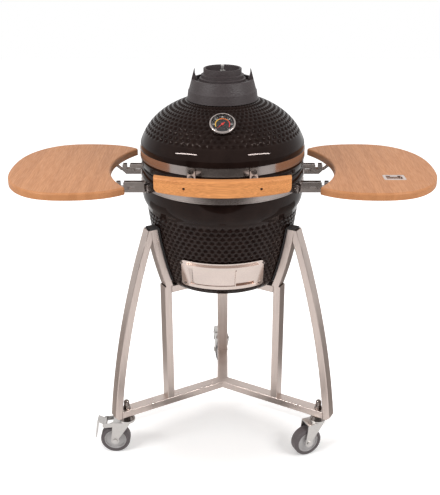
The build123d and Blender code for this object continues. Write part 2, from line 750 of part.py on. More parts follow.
with BuildPart() as lower_band:
    band_ring(LOWER_BAND_LOW_Z, LOWER_BAND_H)
    for side in (-1, 1):
        azimuth = FRONT + side * CLAMP_AZIMUTH
        for along in (-CLAMP_EAR_GAP / 2, CLAMP_EAR_GAP / 2):
            with BuildSketch(clamp_plane(azimuth, along)) as ear:
                with Locations(((CLAMP_EAR_OUT - 1.0) / 2, -(LOWER_BAND_LOW_Z + LOWER_BAND_H / 2))):
                    RectangleRounded(CLAMP_EAR_OUT + 1.0, LOWER_BAND_H, 2.0)
                with Locations((CLAMP_EAR_OUT / 2, -(LOWER_BAND_LOW_Z + LOWER_BAND_H / 2))):
                    Circle(CLAMP_BOLT_R, mode=Mode.SUBTRACT)
            extrude(to_extrude=ear.sketch, amount=CLAMP_EAR_T / 2, both=True)
    with BuildSketch(Plane.XY.offset(LOWER_BAND_LOW_Z)) as band_bore:
        Circle(BAND_IN_R)
    extrude(to_extrude=band_bore.sketch, amount=LOWER_BAND_H, mode=Mode.SUBTRACT)
finish(lower_band, "lower_band")

# ---------------------------------------------------------------- handle
HANDLE_CENTRE_Y = HANDLE_R - HANDLE_FRONT_Y
HANDLE_BACK_R = HANDLE_R - HANDLE_T


def handle_back_y(x):
    """Y of the bar's back face at an x."""
    return HANDLE_CENTRE_Y - sqrt(HANDLE_BACK_R**2 - x**2)


handle_blank_x = HANDLE_L / 2 + HANDLE_CORNER_R
with BuildPart() as handle_bar:
    with BuildSketch(Plane.XY.offset(HANDLE_LOW_Z)):
        with BuildLine():
            front = ThreePointArc(
                (-handle_blank_x, HANDLE_CENTRE_Y - sqrt(HANDLE_R**2 - handle_blank_x**2)),
                (0, -HANDLE_FRONT_Y),
                (handle_blank_x, HANDLE_CENTRE_Y - sqrt(HANDLE_R**2 - handle_blank_x**2)),
            )
            end = Line(front @ 1, (handle_blank_x, handle_back_y(handle_blank_x)))
            back = ThreePointArc(
                end @ 1, (0, HANDLE_T - HANDLE_FRONT_Y), (-handle_blank_x, handle_back_y(handle_blank_x))
            )
            Line(back @ 1, front @ 0)
        make_face()
    extrude(amount=HANDLE_H)
    with BuildSketch(Plane.XZ) as front_view:
        with BuildLine():
            low_edge = ThreePointArc(
                (-HANDLE_L / 2, HANDLE_LOW_Z + HANDLE_END_RISE),
                (0, HANDLE_LOW_Z),
                (HANDLE_L / 2, HANDLE_LOW_Z + HANDLE_END_RISE),
            )
            Polyline(
                low_edge @ 1,
                (HANDLE_L / 2, HANDLE_LOW_Z + HANDLE_H),
                (-HANDLE_L / 2, HANDLE_LOW_Z + HANDLE_H),
                low_edge @ 0,
            )
        make_face()
        fillet(front_view.vertices().group_by(Axis.Y)[0], HANDLE_CORNER_R)
    extrude(to_extrude=front_view.sketch, amount=2 * HANDLE_FRONT_Y, mode=Mode.INTERSECT)
    front_face = handle_bar.faces().filter_by(GeomType.CYLINDER).sort_by(Axis.Y)[0]
    fillet(front_face.edges(), HANDLE_ROUND)
    with BuildSketch(Plane.XZ.offset(PLATE_IN_R)) as screw_holes:
        with Locations((-HANDLE_HOLE_X, HANDLE_LOW_Z + HANDLE_H / 2), (HANDLE_HOLE_X, HANDLE_LOW_Z + HANDLE_H / 2)):
            Circle(HANDLE_HOLE_R)
    extrude(to_extrude=screw_holes.sketch, amount=4 * HANDLE_T, mode=Mode.SUBTRACT)
finish(handle_bar, "handle_bar")

bracket_turn = radians(BRACKET_AZIMUTH)
BRACKET_TOP_X = PLATE_IN_R * sin(bracket_turn)
with BuildPart() as handle_brackets:
    for side in (-1, 1):
        half_span = degrees(BRACKET_W / 2 / PLATE_IN_R)
        ring_sector(
            PLATE_IN_R,
            PLATE_IN_R + BRACKET_T,
            UPPER_BAND_LOW_Z,
            UPPER_BAND_LOW_Z + UPPER_BAND_H,
            FRONT + side * BRACKET_AZIMUTH,
            half_span,
        )
        plate_low_z = HANDLE_LOW_Z + 6.0
        with BuildSketch(Plane.XY.offset(plate_low_z)) as plate:
            with Locations((0, HANDLE_CENTRE_Y)):
                Circle(HANDLE_BACK_R)
                Circle(HANDLE_BACK_R - BRACKET_T, mode=Mode.SUBTRACT)
            with Locations((side * (HANDLE_HOLE_X + BRACKET_TOP_X) / 2, -HANDLE_FRONT_Y)):
                Rectangle(
                    HANDLE_HOLE_X - BRACKET_TOP_X + BRACKET_W, 4 * HANDLE_T, mode=Mode.INTERSECT
                )
        extrude(to_extrude=plate.sketch, amount=UPPER_BAND_LOW_Z + BRACKET_T - plate_low_z)
        with BuildSketch(Plane.XY.offset(UPPER_BAND_LOW_Z)) as ledge:
            with Locations((side * BRACKET_TOP_X, -HANDLE_FRONT_Y + HANDLE_T)):
                Rectangle(BRACKET_W, 4 * HANDLE_T)
            Circle(PLATE_IN_R + BRACKET_T / 2, mode=Mode.SUBTRACT)
            with Locations((0, HANDLE_CENTRE_Y)):
                Circle(HANDLE_BACK_R - BRACKET_T / 2, mode=Mode.INTERSECT)
        extrude(to_extrude=ledge.sketch, amount=BRACKET_T)
    with BuildSketch(Plane.XZ.offset(PLATE_IN_R)) as screw_holes:
        with Locations((-HANDLE_HOLE_X, HANDLE_LOW_Z + HANDLE_H / 2), (HANDLE_HOLE_X, HANDLE_LOW_Z + HANDLE_H / 2)):
            Circle(HANDLE_SCREW_R)
    extrude(to_extrude=screw_holes.sketch, amount=4 * HANDLE_T, mode=Mode.SUBTRACT)
finish(handle_brackets, "handle_brackets")

with BuildPart() as handle_screws:
    for side in (-1, 1):
        head_y = HANDLE_CENTRE_Y - sqrt(HANDLE_R**2 - HANDLE_HOLE_X**2) + 6.0
        with BuildSketch(Plane.XZ.offset(-head_y)) as head:
            with Locations((side * HANDLE_HOLE_X, HANDLE_LOW_Z + HANDLE_H / 2)):
                Circle(HANDLE_SCREW_R)
        extrude(to_extrude=head.sketch, amount=-(HANDLE_T + 2 * BRACKET_T))
finish(handle_screws, "handle_screws")


def radial_bolt(azimuth, height, inner_r, outer_r):
    """Hex bolt head with its washer on a curved plate, added to the open part."""
    turn = radians(azimuth)
    seat = Plane(
        origin=(inner_r * cos(turn), inner_r * sin(turn), height),
        x_dir=(-sin(turn), cos(turn), 0),
        z_dir=(cos(turn), sin(turn), 0),
    )
    with BuildSketch(seat) as washer:
        Circle(BOLT_HEAD_R + 1.5)
    extrude(to_extrude=washer.sketch, amount=1.0)
    with BuildSketch(seat) as head:
        RegularPolygon(BOLT_HEAD_R, 6)
    extrude(to_extrude=head.sketch, amount=outer_r - inner_r)


with BuildPart() as upper_band_bolts:
    for side in (-1, 1):
        seat_r = PLATE_IN_R + BRACKET_T + FACE_GAP
        radial_bolt(FRONT + side * BRACKET_AZIMUTH, BRACKET_HEAD_Z, seat_r, seat_r + BOLT_HEAD_T)
finish(upper_band_bolts, "upper_band_bolts")

# ---------------------------------------------------------------- rear hinge
with BuildPart() as hinge_base:
    ring_sector(
        PLATE_IN_R,
        PLATE_IN_R + HINGE_PLATE_T,
        LOWER_BAND_LOW_Z,
        LOWER_BAND_LOW_Z + LOWER_BAND_H,
        REAR,
        HINGE_PLATE_SPAN,
    )
    for side in (-1, 1):
        outer_x = side * HINGE_HALF_W
        with BuildSketch(Plane.YZ.offset(outer_x)) as cheek:
            with BuildLine():
                eye = ThreePointArc(
                    (HINGE_Y + HINGE_EYE_R, HINGE_Z),
                    (HINGE_Y, HINGE_Z + HINGE_EYE_R),
                    (HINGE_Y - HINGE_EYE_R, HINGE_Z),
                )
                Polyline(
                    eye @ 1,
                    (HINGE_Y - HINGE_EYE_R, LOWER_BAND_LOW_Z + LOWER_BAND_H),
                    (PLATE_IN_R - 8.0, LOWER_BAND_LOW_Z + LOWER_BAND_H),
                    (PLATE_IN_R - 8.0, LOWER_BAND_LOW_Z),
                    (PLATE_IN_R + 12.0, LOWER_BAND_LOW_Z),
                    eye @ 0,
                )
            make_face()
            with Locations((HINGE_Y, HINGE_Z)):
                Circle(HINGE_PIN_R, mode=Mode.SUBTRACT)
        extrude(to_extrude=cheek.sketch, amount=-side * HINGE_CHEEK_T)
    with BuildSketch(Plane.XY.offset(LOWER_BAND_LOW_Z)) as band_zone:
        Circle(PLATE_IN_R)
    extrude(to_extrude=band_zone.sketch, amount=LOWER_BAND_H + 1.0, mode=Mode.SUBTRACT)
finish(hinge_base, "hinge_base")

with BuildPart() as hinge_arm:
    arm_outer_x = HINGE_HALF_W - HINGE_CHEEK_T - HINGE_SIDE_GAP
    ring_sector(
        PLATE_IN_R,
        PLATE_IN_R + HINGE_PLATE_T,
        UPPER_BAND_LOW_Z,
        UPPER_BAND_LOW_Z + UPPER_BAND_H,
        REAR,
        HINGE_PLATE_SPAN,
    )
    for side in (-1, 1):
        with BuildSketch(Plane.YZ.offset(side * arm_outer_x)) as arm:
            with BuildLine():
                eye = ThreePointArc(
                    (HINGE_Y - HINGE_EYE_R, HINGE_Z),
                    (HINGE_Y, HINGE_Z - HINGE_EYE_R),
                    (HINGE_Y + HINGE_EYE_R, HINGE_Z),
                )
                Polyline(
                    eye @ 1,
                    (PLATE_IN_R + 10.0, UPPER_BAND_LOW_Z + UPPER_BAND_H),
                    (PLATE_IN_R - 8.0, UPPER_BAND_LOW_Z + UPPER_BAND_H),
                    (PLATE_IN_R - 8.0, UPPER_BAND_LOW_Z),
                    eye @ 0,
                )
            make_face()
            with Locations((HINGE_Y, HINGE_Z)):
                Circle(HINGE_PIN_R + RUNNING, mode=Mode.SUBTRACT)
        extrude(to_extrude=arm.sketch, amount=-side * HINGE_CHEEK_T)
    with BuildSketch(Plane.XY.offset(HINGE_Z)) as band_zone:
        Circle(PLATE_IN_R)
    extrude(to_extrude=band_zone.sketch, amount=2 * UPPER_BAND_H, mode=Mode.SUBTRACT)
finish(hinge_arm, "hinge_arm")

with BuildPart() as hinge_pin:
    with BuildSketch(Plane.YZ.offset(-HINGE_HALF_W)):
        with Locations((HINGE_Y, HINGE_Z)):
            Circle(HINGE_PIN_R)
    extrude(amount=2 * HINGE_HALF_W)
    for side in (-1, 1):
        with BuildSketch(Plane.YZ.offset(side * HINGE_HALF_W)) as pin_head:
            with Locations((HINGE_Y, HINGE_Z)):
                Circle(HINGE_PIN_R + 2.5)
        extrude(to_extrude=pin_head.sketch, amount=side * 3.0)
finish(hinge_pin, "hinge_pin")

# ---------------------------------------------------------------- shelves
ARM_OUTER_W = ARM_INNER_W + 2 * ARM_CHEEK_T


def shelf_arm(side, middle_y):
    """One steel shelf arm: two cheeks on a curved flange, added to the open part."""
    for wall in (-1, 1):
        wall_y = middle_y + wall * (ARM_INNER_W + ARM_CHEEK_T) / 2
        with BuildSketch(Plane.XZ.offset(-wall_y)) as cheek:
            with BuildLine():
                Polyline(
                    (side * (PLATE_IN_R - 30.0), ARM_LOW_Z),
                    (side * (ARM_TIP_X - ARM_TIP_CHAMFER), ARM_LOW_Z),
                    (side * ARM_TIP_X, ARM_LOW_Z + ARM_TIP_CHAMFER),
                    (side * ARM_TIP_X, ARM_HIGH_Z),
                    (side * (ARM_TIP_X - NOTCH_FROM_TIP), ARM_HIGH_Z),
                    (side * (ARM_TIP_X - NOTCH_FROM_TIP), ARM_HIGH_Z - NOTCH_DEPTH),
                    (side * (ARM_TIP_X - NOTCH_FROM_TIP - NOTCH_W), ARM_HIGH_Z - NOTCH_DEPTH),
                    (side * (ARM_TIP_X - NOTCH_FROM_TIP - NOTCH_W), ARM_HIGH_Z),
                    (side * (PLATE_IN_R - 30.0), ARM_HIGH_Z),
                    close=True,
                )
            make_face()
            with Locations((side * (PIVOT_X - ARM_SLOT_L / 2), PIVOT_Z)):
                SlotCenterToCenter(ARM_SLOT_L, 2 * (PIVOT_R + RUNNING), mode=Mode.SUBTRACT)
        extrude(to_extrude=cheek.sketch, amount=ARM_CHEEK_T / 2, both=True)
    azimuth = degrees(atan2(middle_y, side * sqrt(PLATE_IN_R**2 - middle_y**2)))
    flange_span = degrees((ARM_OUTER_W / 2 + ARM_FLANGE_SIDE) / PLATE_IN_R)
    ring_sector(
        PLATE_IN_R, PLATE_IN_R + ARM_FLANGE_T, ARM_LOW_Z, LOWER_BAND_LOW_Z + LOWER_BAND_H, azimuth, flange_span
    )


def shelf_arms(side):
    """Both arms of one side, trimmed to the band that they are bolted to."""
    with BuildPart() as arms:
        for middle_y in (-ARM_Y, ARM_Y):
            shelf_arm(side, middle_y)
        with BuildSketch(Plane.XY.offset(ARM_LOW_Z - 1.0)) as band_zone:
            Circle(PLATE_IN_R)
        extrude(to_extrude=band_zone.sketch, amount=ARM_HIGH_Z - ARM_LOW_Z + 12.0, mode=Mode.SUBTRACT)
    return arms


def shelf_hooks(side):
    """The two cranked hooks that carry a shelf, each with its welded pivot pin."""
    hook_low_z = PIVOT_Z - HOOK_T / 2
    shelf_low_z = SHELF_TOP_Z - SHELF_T
    with BuildPart() as hooks:
        for middle_y in (-ARM_Y, ARM_Y):
            with BuildSketch(Plane.XZ.offset(-middle_y)) as strap:
                with BuildLine():
                    Polyline(
                        (side * PIVOT_X, hook_low_z),
                        (side * HOOK_BEND_X, hook_low_z),
                        (side * (HOOK_BEND_X + HOOK_BEND_RUN), shelf_low_z - HOOK_T),
                        (side * HOOK_END_X, shelf_low_z - HOOK_T),
                        (side * HOOK_END_X, shelf_low_z),
                        (side * (HOOK_BEND_X + HOOK_BEND_RUN - 2.0), shelf_low_z),
                        (side * (HOOK_BEND_X - 2.0), hook_low_z + HOOK_T),
                        (side * PIVOT_X, hook_low_z + HOOK_T),
                        close=True,
                    )
                make_face()
                with Locations((side * PIVOT_X, PIVOT_Z)):
                    Circle(HOOK_EYE_R)
            extrude(to_extrude=strap.sketch, amount=HOOK_W / 2, both=True)
            with BuildSketch(Plane.XZ.offset(-middle_y)) as pin:
                with Locations((side * PIVOT_X, PIVOT_Z)):
                    Circle(PIVOT_R)
            extrude(to_extrude=pin.sketch, amount=ARM_OUTER_W / 2 + 1.0, both=True)
    return hooks


def shelf_board(side):
    """Bamboo shelf: a hollowed inner edge between two horns and a broad round outer end."""
    horn = (sqrt(SHELF_INNER_R**2 - SHELF_HORN_Y**2), SHELF_HORN_Y)
    half = (horn, SHELF_SHOULDER, SHELF_WIDEST, SHELF_SIDE_END, SHELF_CORNER)
    front_half = [(side * x, -y) for x, y in half]
    rear_half = [(side * x, y) for x, y in reversed(half)]
    with BuildPart() as board:
        with BuildSketch(Plane.XY.offset(SHELF_TOP_Z - SHELF_T)) as outline:
            with BuildLine():
                rim = Spline(*front_half, (side * SHELF_OUTER_X, 0), *rear_half)
                ThreePointArc(rim @ 1, (side * SHELF_INNER_R, 0), rim @ 0)
            make_face()
            fillet(outline.vertices(), SHELF_HORN_ROUND)
        extrude(amount=SHELF_T)
        fillet(board.edges().group_by(Axis.Z)[-1], SHELF_EDGE_ROUND)
        if side > 0:
            with BuildSketch(Plane.XY.offset(SHELF_TOP_Z - OPENER_DEPTH)):
                with Locations((OPENER_X, OPENER_Y)):
                    RectangleRounded(OPENER_L - 2 * OPENER_RIM, OPENER_W - 2 * OPENER_RIM, OPENER_ROUND)
            extrude(amount=OPENER_DEPTH, mode=Mode.SUBTRACT)
            with BuildSketch(Plane.XY.offset(OPENER_SEAT_Z)):
                with Locations((OPENER_X, OPENER_Y)):
                    RectangleRounded(
                        OPENER_L + 2 * OPENER_FIT, OPENER_W + 2 * OPENER_FIT, OPENER_CORNER_R + OPENER_FIT
                    )
            extrude(amount=SHELF_T, mode=Mode.SUBTRACT)
    return board


for side, name in ((-1, "left"), (1, "right")):
    arms = shelf_arms(side)
    finish(arms, f"shelf_arms_{name}")
    hooks = shelf_hooks(side)
    finish(hooks, f"shelf_hooks_{name}")
    board = shelf_board(side)
    finish(board, f"shelf_{name}")

with BuildPart() as opener:
    with BuildSketch(Plane.XY.offset(OPENER_SEAT_Z)):
        with Locations((OPENER_X, OPENER_Y)):
            RectangleRounded(OPENER_L, OPENER_W, OPENER_CORNER_R)
    extrude(amount=OPENER_FLANGE_T)
    with BuildSketch(Plane.XY.offset(SHELF_TOP_Z - OPENER_DEPTH + OPENER_FIT)):
        with Locations((OPENER_X, OPENER_Y)):
            RectangleRounded(
                OPENER_L - 2 * OPENER_RIM - 2 * OPENER_FIT,
                OPENER_W - 2 * OPENER_RIM - 2 * OPENER_FIT,
                OPENER_ROUND - OPENER_FIT,
            )
    extrude(amount=OPENER_SEAT_Z - SHELF_TOP_Z + OPENER_DEPTH - OPENER_FIT)
    with BuildSketch(Plane.XY.offset(SHELF_TOP_Z - OPENER_DEPTH + 1.5)):
        with Locations((OPENER_X, OPENER_Y)):
            RectangleRounded(OPENER_L - 3 * OPENER_RIM, OPENER_W - 3 * OPENER_RIM, 3.0)
    extrude(amount=OPENER_DEPTH, mode=Mode.SUBTRACT)
    with BuildSketch(Plane.XY.offset(SHELF_TOP_Z - 2.5)):
        with Locations((OPENER_X, OPENER_Y + OPENER_W / 2 - OPENER_RIM - 5.0)):
            RectangleRounded(18.0, 9.0, 2.0)
    extrude(amount=2.0)
finish(opener, "opener")

with BuildPart() as lower_band_bolts:
    for side in (-1, 1):
        azimuth = FRONT + side * CLAMP_AZIMUTH
        with BuildSketch(clamp_plane(azimuth, -CLAMP_EAR_GAP / 2 - 8.0)) as shank:
            with Locations((CLAMP_EAR_OUT / 2, -(LOWER_BAND_LOW_Z + LOWER_BAND_H / 2))):
                Circle(CLAMP_BOLT_R)
        extrude(to_extrude=shank.sketch, amount=CLAMP_EAR_GAP + 16.0)
        for along in (-CLAMP_EAR_GAP / 2 - CLAMP_EAR_T / 2 - BOLT_HEAD_T, CLAMP_EAR_GAP / 2 + CLAMP_EAR_T / 2):
            with BuildSketch(clamp_plane(azimuth, along)) as nut:
                with Locations((CLAMP_EAR_OUT / 2, -(LOWER_BAND_LOW_Z + LOWER_BAND_H / 2))):
                    RegularPolygon(BOLT_HEAD_R, 6)
            extrude(to_extrude=nut.sketch, amount=BOLT_HEAD_T)
finish(lower_band_bolts, "lower_band_bolts")

# ---------------------------------------------------------------- ash door
DOOR_MIDDLE_Z = (DOOR_LOW_Z + DOOR_HIGH_Z) / 2
door_middle_r = on_arc(WALL_CENTRE, WALL_ARC_R, DOOR_MIDDLE_Z)
door_lean = atan2(
    on_arc(WALL_CENTRE, WALL_ARC_R, DOOR_HIGH_Z) - on_arc(WALL_CENTRE, WALL_ARC_R, DOOR_LOW_Z),
    DOOR_HIGH_Z - DOOR_LOW_Z,
)
SCREEN_OUT = FRAME_SEAT + FRAME_T + PANEL_GAP
PANEL_OUT = SCREEN_OUT + PANEL_T + PANEL_GAP
RAIL_OUT = PANEL_OUT + PANEL_T + PANEL_GAP


def on_wall(up, out):
    """Point beside the tapered wall: up its slope from the door's middle, and out from it."""
    reach = door_middle_r + up * sin(door_lean) + out * cos(door_lean)
    height = DOOR_MIDDLE_Z + up * cos(door_lean) - out * sin(door_lean)
    return (reach, height)


def wall_strip(corners, start, end, mode=Mode.ADD):
    """Strip of the given section swept round the axis between two angles from the front."""
    with BuildSketch(radial_plane(FRONT + start)) as section:
        with BuildLine():
            Polyline(*[on_wall(up, out) for up, out in corners], close=True)
        make_face()
    revolve(profiles=section.sketch, axis=Axis.Z, revolution_arc=end - start, mode=mode)


def box_corners(low, high, inner, outer):
    """Corners of a plain strip section."""
    return ((low, inner), (low, outer), (high, outer), (high, inner))


PANEL_HALF_H = RAIL_UP - PANEL_EDGE_GAP
DOOR_HALF_H = (DOOR_HIGH_Z - DOOR_LOW_Z) / 2
door_half_w = door_middle_r * sin(radians(DOOR_HALF_SPAN))

with BuildPart() as ash_frame:
    wall_strip(
        box_corners(-DOOR_HALF_H - 6.0, DOOR_HALF_H + 6.0, FRAME_SEAT, FRAME_SEAT + FRAME_T),
        -DOOR_HALF_SPAN - 4.0,
        DOOR_HALF_SPAN + 4.0,
    )
    with BuildSketch(Plane.XZ) as door_outline:
        with Locations((0, DOOR_MIDDLE_Z)):
            RectangleRounded(2 * door_half_w, 2 * DOOR_HALF_H, DOOR_CORNER_R)
    extrude(to_extrude=door_outline.sketch, amount=RIM_R, mode=Mode.INTERSECT)
    wall_strip(
        box_corners(
            (ASH_HOLE_LOW_Z - DOOR_MIDDLE_Z) + 1.0, (ASH_HOLE_HIGH_Z - DOOR_MIDDLE_Z) - 1.0, 0, 2 * FRAME_T
        ),
        ASH_HOLE_MIDDLE - ASH_HOLE_HALF_SPAN,
        ASH_HOLE_MIDDLE + ASH_HOLE_HALF_SPAN,
        mode=Mode.SUBTRACT,
    )
    for side in (-1, 1):
        wall_strip(
            box_corners(side * RAIL_UP, side * (RAIL_UP + RAIL_H), FRAME_SEAT + FRAME_T / 2, RAIL_OUT + RAIL_LIP_T),
            -RAIL_HALF_SPAN,
            RAIL_HALF_SPAN,
        )
        wall_strip(
            box_corners(side * (RAIL_UP - RAIL_LIP), side * (RAIL_UP + RAIL_H), RAIL_OUT, RAIL_OUT + RAIL_LIP_T),
            -RAIL_HALF_SPAN,
            RAIL_HALF_SPAN,
        )
finish(ash_frame, "ash_frame")

with BuildPart() as ash_screen:
    wall_strip(
        box_corners(-PANEL_HALF_H, PANEL_HALF_H, SCREEN_OUT, SCREEN_OUT + PANEL_T), SCREEN_FROM, SCREEN_TO
    )
    with BuildSketch(Plane.XZ) as hole_pattern:
        with Locations((SCREEN_HOLES_X, DOOR_MIDDLE_Z)):
            with GridLocations(SCREEN_HOLE_PITCH, SCREEN_HOLE_PITCH, SCREEN_HOLE_COLUMNS, SCREEN_HOLE_ROWS):
                RegularPolygon(SCREEN_HOLE_R, 6)
    extrude(to_extrude=hole_pattern.sketch, amount=RIM_R, mode=Mode.SUBTRACT)
finish(ash_screen, "ash_screen")

with BuildPart() as ash_door:
    wall_strip(
        box_corners(-PANEL_HALF_H, PANEL_HALF_H, PANEL_OUT, PANEL_OUT + PANEL_T), DOOR_FROM, DOOR_TO
    )
    wall_strip(
        box_corners(
            -RAIL_UP + RAIL_LIP + 1.0, RAIL_UP - RAIL_LIP - 1.0, PANEL_OUT, PANEL_OUT + PANEL_T + PANEL_TAB_OUT
        ),
        DOOR_TO - PANEL_TAB_SPAN,
        DOOR_TO,
    )
finish(ash_door, "ash_door")

with BuildPart() as ash_screws:
    for side in (-1, 1):
        for lift in (-1, 1):
            reach, height = on_wall(lift * (DOOR_HALF_H - DOOR_SCREW_INSET), FRAME_SEAT + FRAME_T + FACE_GAP)
            turn = radians(FRONT) + side * (radians(DOOR_HALF_SPAN) - DOOR_SCREW_INSET / door_middle_r)
            seat = Plane(
                origin=(reach * cos(turn), reach * sin(turn), height),
                z_dir=(cos(turn) * cos(door_lean), sin(turn) * cos(door_lean), -sin(door_lean)),
            )
            with BuildSketch(seat) as head:
                Circle(DOOR_SCREW_R)
            extrude(to_extrude=head.sketch, amount=DOOR_SCREW_T)
finish(ash_screws, "ash_screws")

# ---------------------------------------------------------------- stand
ARM_FACE = FACE_GAP + PAD_T  # from the ceramic to the cradle arm
ARM_PATH_R = WALL_ARC_R + ARM_FACE + TUBE_H / 2
LEG_FOOT = (LEG_FOOT_R, SPOKE_LOW_Z)
LEG_TOP = (LEG_TOP_R, LEG_TOP_Z)
LEG_ARC_R = arc_radius(LEG_FOOT, LEG_TOP, LEG_BOW)
LEG_CENTRE = arc_centre(LEG_FOOT, LEG_TOP, LEG_BOW)
SPOKE_TOP_Z = SPOKE_LOW_Z + TUBE_H
stand_legs = PolarLocations(0, LEG_COUNT, start_angle=FIRST_LEG)


def arc_band(centre, inner_r, outer_r, low_z, high_z):
    """Sketch of the strip between two concentric arcs, from one height to another."""
    with BuildSketch(Plane.XZ) as band:
        with BuildLine():
            inner = ThreePointArc(
                (on_arc(centre, inner_r, low_z), low_z),
                (on_arc(centre, inner_r, (low_z + high_z) / 2), (low_z + high_z) / 2),
                (on_arc(centre, inner_r, high_z), high_z),
            )
            outer = ThreePointArc(
                (on_arc(centre, outer_r, low_z), low_z),
                (on_arc(centre, outer_r, (low_z + high_z) / 2), (low_z + high_z) / 2),
                (on_arc(centre, outer_r, high_z), high_z),
            )
            Line(inner @ 0, outer @ 0)
            Line(inner @ 1, outer @ 1)
        make_face()
    return band.sketch


def bent_tube(centre, inner_r, low_z, high_z):
    """Rectangular tube bent to an arc, cut level at both ends, added to the open part."""
    outside = arc_band(centre, inner_r, inner_r + TUBE_H, low_z, high_z)
    extrude(to_extrude=outside, amount=TUBE_W / 2, both=True)
    hollow = arc_band(
        centre, inner_r + TUBE_WALL, inner_r + TUBE_H - TUBE_WALL, low_z - TUBE_WALL, high_z + TUBE_WALL
    )
    extrude(to_extrude=hollow, amount=TUBE_W / 2 - TUBE_WALL, both=True, mode=Mode.SUBTRACT)


def round_leg(piece):
    """Round the long outer corners of a tube piece."""
    long_edges = piece.edges().filter_by(lambda edge: edge.length > 4 * TUBE_H)
    widest = long_edges.filter_by(lambda edge: abs(abs(edge.center().Y) - TUBE_W / 2) < 0.01)
    fillet(widest, TUBE_CORNER_R)


with BuildPart() as cradle_arm:
    bent_tube(WALL_CENTRE, WALL_ARC_R + ARM_FACE, UPRIGHT_TOP_Z, APEX_Z)
    round_leg(cradle_arm)

with BuildPart() as outer_leg:
    bent_tube(LEG_CENTRE, LEG_ARC_R - TUBE_H, SPOKE_LOW_Z, LEG_TOP_Z)
    round_leg(outer_leg)
    with BuildSketch(Plane.XZ) as foot_corner:
        with BuildLine():
            Polyline(
                (LEG_FOOT_R - FOOT_CHAMFER, SPOKE_LOW_Z),
                (LEG_FOOT_R + 1.0, SPOKE_LOW_Z),
                (LEG_FOOT_R + 1.0, SPOKE_LOW_Z + FOOT_CHAMFER),
                close=True,
            )
        make_face()
    extrude(to_extrude=foot_corner.sketch, amount=TUBE_W, both=True, mode=Mode.SUBTRACT)
    arm_zone = arc_band(
        WALL_CENTRE, WALL_ARC_R - TUBE_H, WALL_ARC_R + ARM_FACE + TUBE_H, UPRIGHT_TOP_Z, APEX_Z + 5.0
    )
    extrude(to_extrude=arm_zone, amount=TUBE_W, both=True, mode=Mode.SUBTRACT)

with BuildPart() as upright:
    with BuildSketch(Plane.XY.offset(SPOKE_TOP_Z)):
        with Locations((UPRIGHT_R, 0)):
            RectangleRounded(TUBE_H, TUBE_W, TUBE_CORNER_R)
            Rectangle(TUBE_H - 2 * TUBE_WALL, TUBE_W - 2 * TUBE_WALL, mode=Mode.SUBTRACT)
    extrude(amount=UPRIGHT_TOP_Z - SPOKE_TOP_Z)


def spoke(top_z, end_r):
    """Level tube from the centre outward, with its inner end mitred to meet two others."""
    with BuildSketch(Plane.YZ) as spoke_end:
        with Locations((0, top_z - TUBE_H / 2)):
            RectangleRounded(TUBE_W, TUBE_H, TUBE_CORNER_R)
            Rectangle(TUBE_W - 2 * TUBE_WALL, TUBE_H - 2 * TUBE_WALL, mode=Mode.SUBTRACT)
    extrude(to_extrude=spoke_end.sketch, amount=end_r)
    for side in (-1, 1):
        with BuildSketch(Plane.XY.offset(top_z - TUBE_H - 1.0)) as mitre:
            with BuildLine():
                Polyline(
                    (MITRE_GAP, 0),
                    (MITRE_GAP + TUBE_W / sqrt(3), side * TUBE_W),
                    (-1.0, side * TUBE_W),
                    (-1.0, 0),
                    close=True,
                )
            make_face()
        extrude(to_extrude=mitre.sketch, amount=TUBE_H + 2.0, mode=Mode.SUBTRACT)


with BuildPart() as lower_spoke:
    spoke(SPOKE_TOP_Z, LEG_FOOT_R)
    leg_zone = arc_band(LEG_CENTRE, LEG_ARC_R - TUBE_H, LEG_ARC_R + TUBE_H, SPOKE_LOW_Z - 2.0, SPOKE_TOP_Z + 2.0)
    extrude(to_extrude=leg_zone, amount=TUBE_W, both=True, mode=Mode.SUBTRACT)
    with Locations((CASTER_R, 0, SPOKE_LOW_Z + TUBE_H / 2)):
        Cylinder(STEM_BOLT_R + RUNNING, 2 * TUBE_H, mode=Mode.SUBTRACT)

with BuildPart() as upper_spoke:
    spoke(UPRIGHT_TOP_Z, UPRIGHT_R - TUBE_H / 2)

with BuildPart() as end_plug:
    plug_band = arc_band(
        WALL_CENTRE, WALL_ARC_R + ARM_FACE, WALL_ARC_R + ARM_FACE + TUBE_H, APEX_Z, APEX_Z + PLUG_T
    )
    extrude(to_extrude=plug_band, amount=TUBE_W / 2, both=True)

with BuildPart() as cradle_pad:
    pad_band = arc_band(
        WALL_CENTRE, WALL_ARC_R + FACE_GAP, WALL_ARC_R + FACE_GAP + PAD_T, WALL_LOW_Z, APEX_Z + PLUG_T
    )
    extrude(to_extrude=pad_band, amount=TUBE_W / 2, both=True)

for template, name in (
    (cradle_arm, "cradle_arms"),
    (outer_leg, "outer_legs"),
    (upright, "uprights"),
    (lower_spoke, "lower_spokes"),
    (upper_spoke, "upper_spokes"),
    (end_plug, "end_plugs"),
    (cradle_pad, "cradle_pads"),
):
    with BuildPart() as group:
        with PolarLocations(0, LEG_COUNT, start_angle=FIRST_LEG):
            add(template.part)
    finish(group, name)

# ---------------------------------------------------------------- casters
STEM_LOW_Z = FORK_TOP_Z - FORK_T - 4.0
RACE_TOP_LOW_Z = FORK_TOP_Z + RACE_LOW_T + RACE_GAP

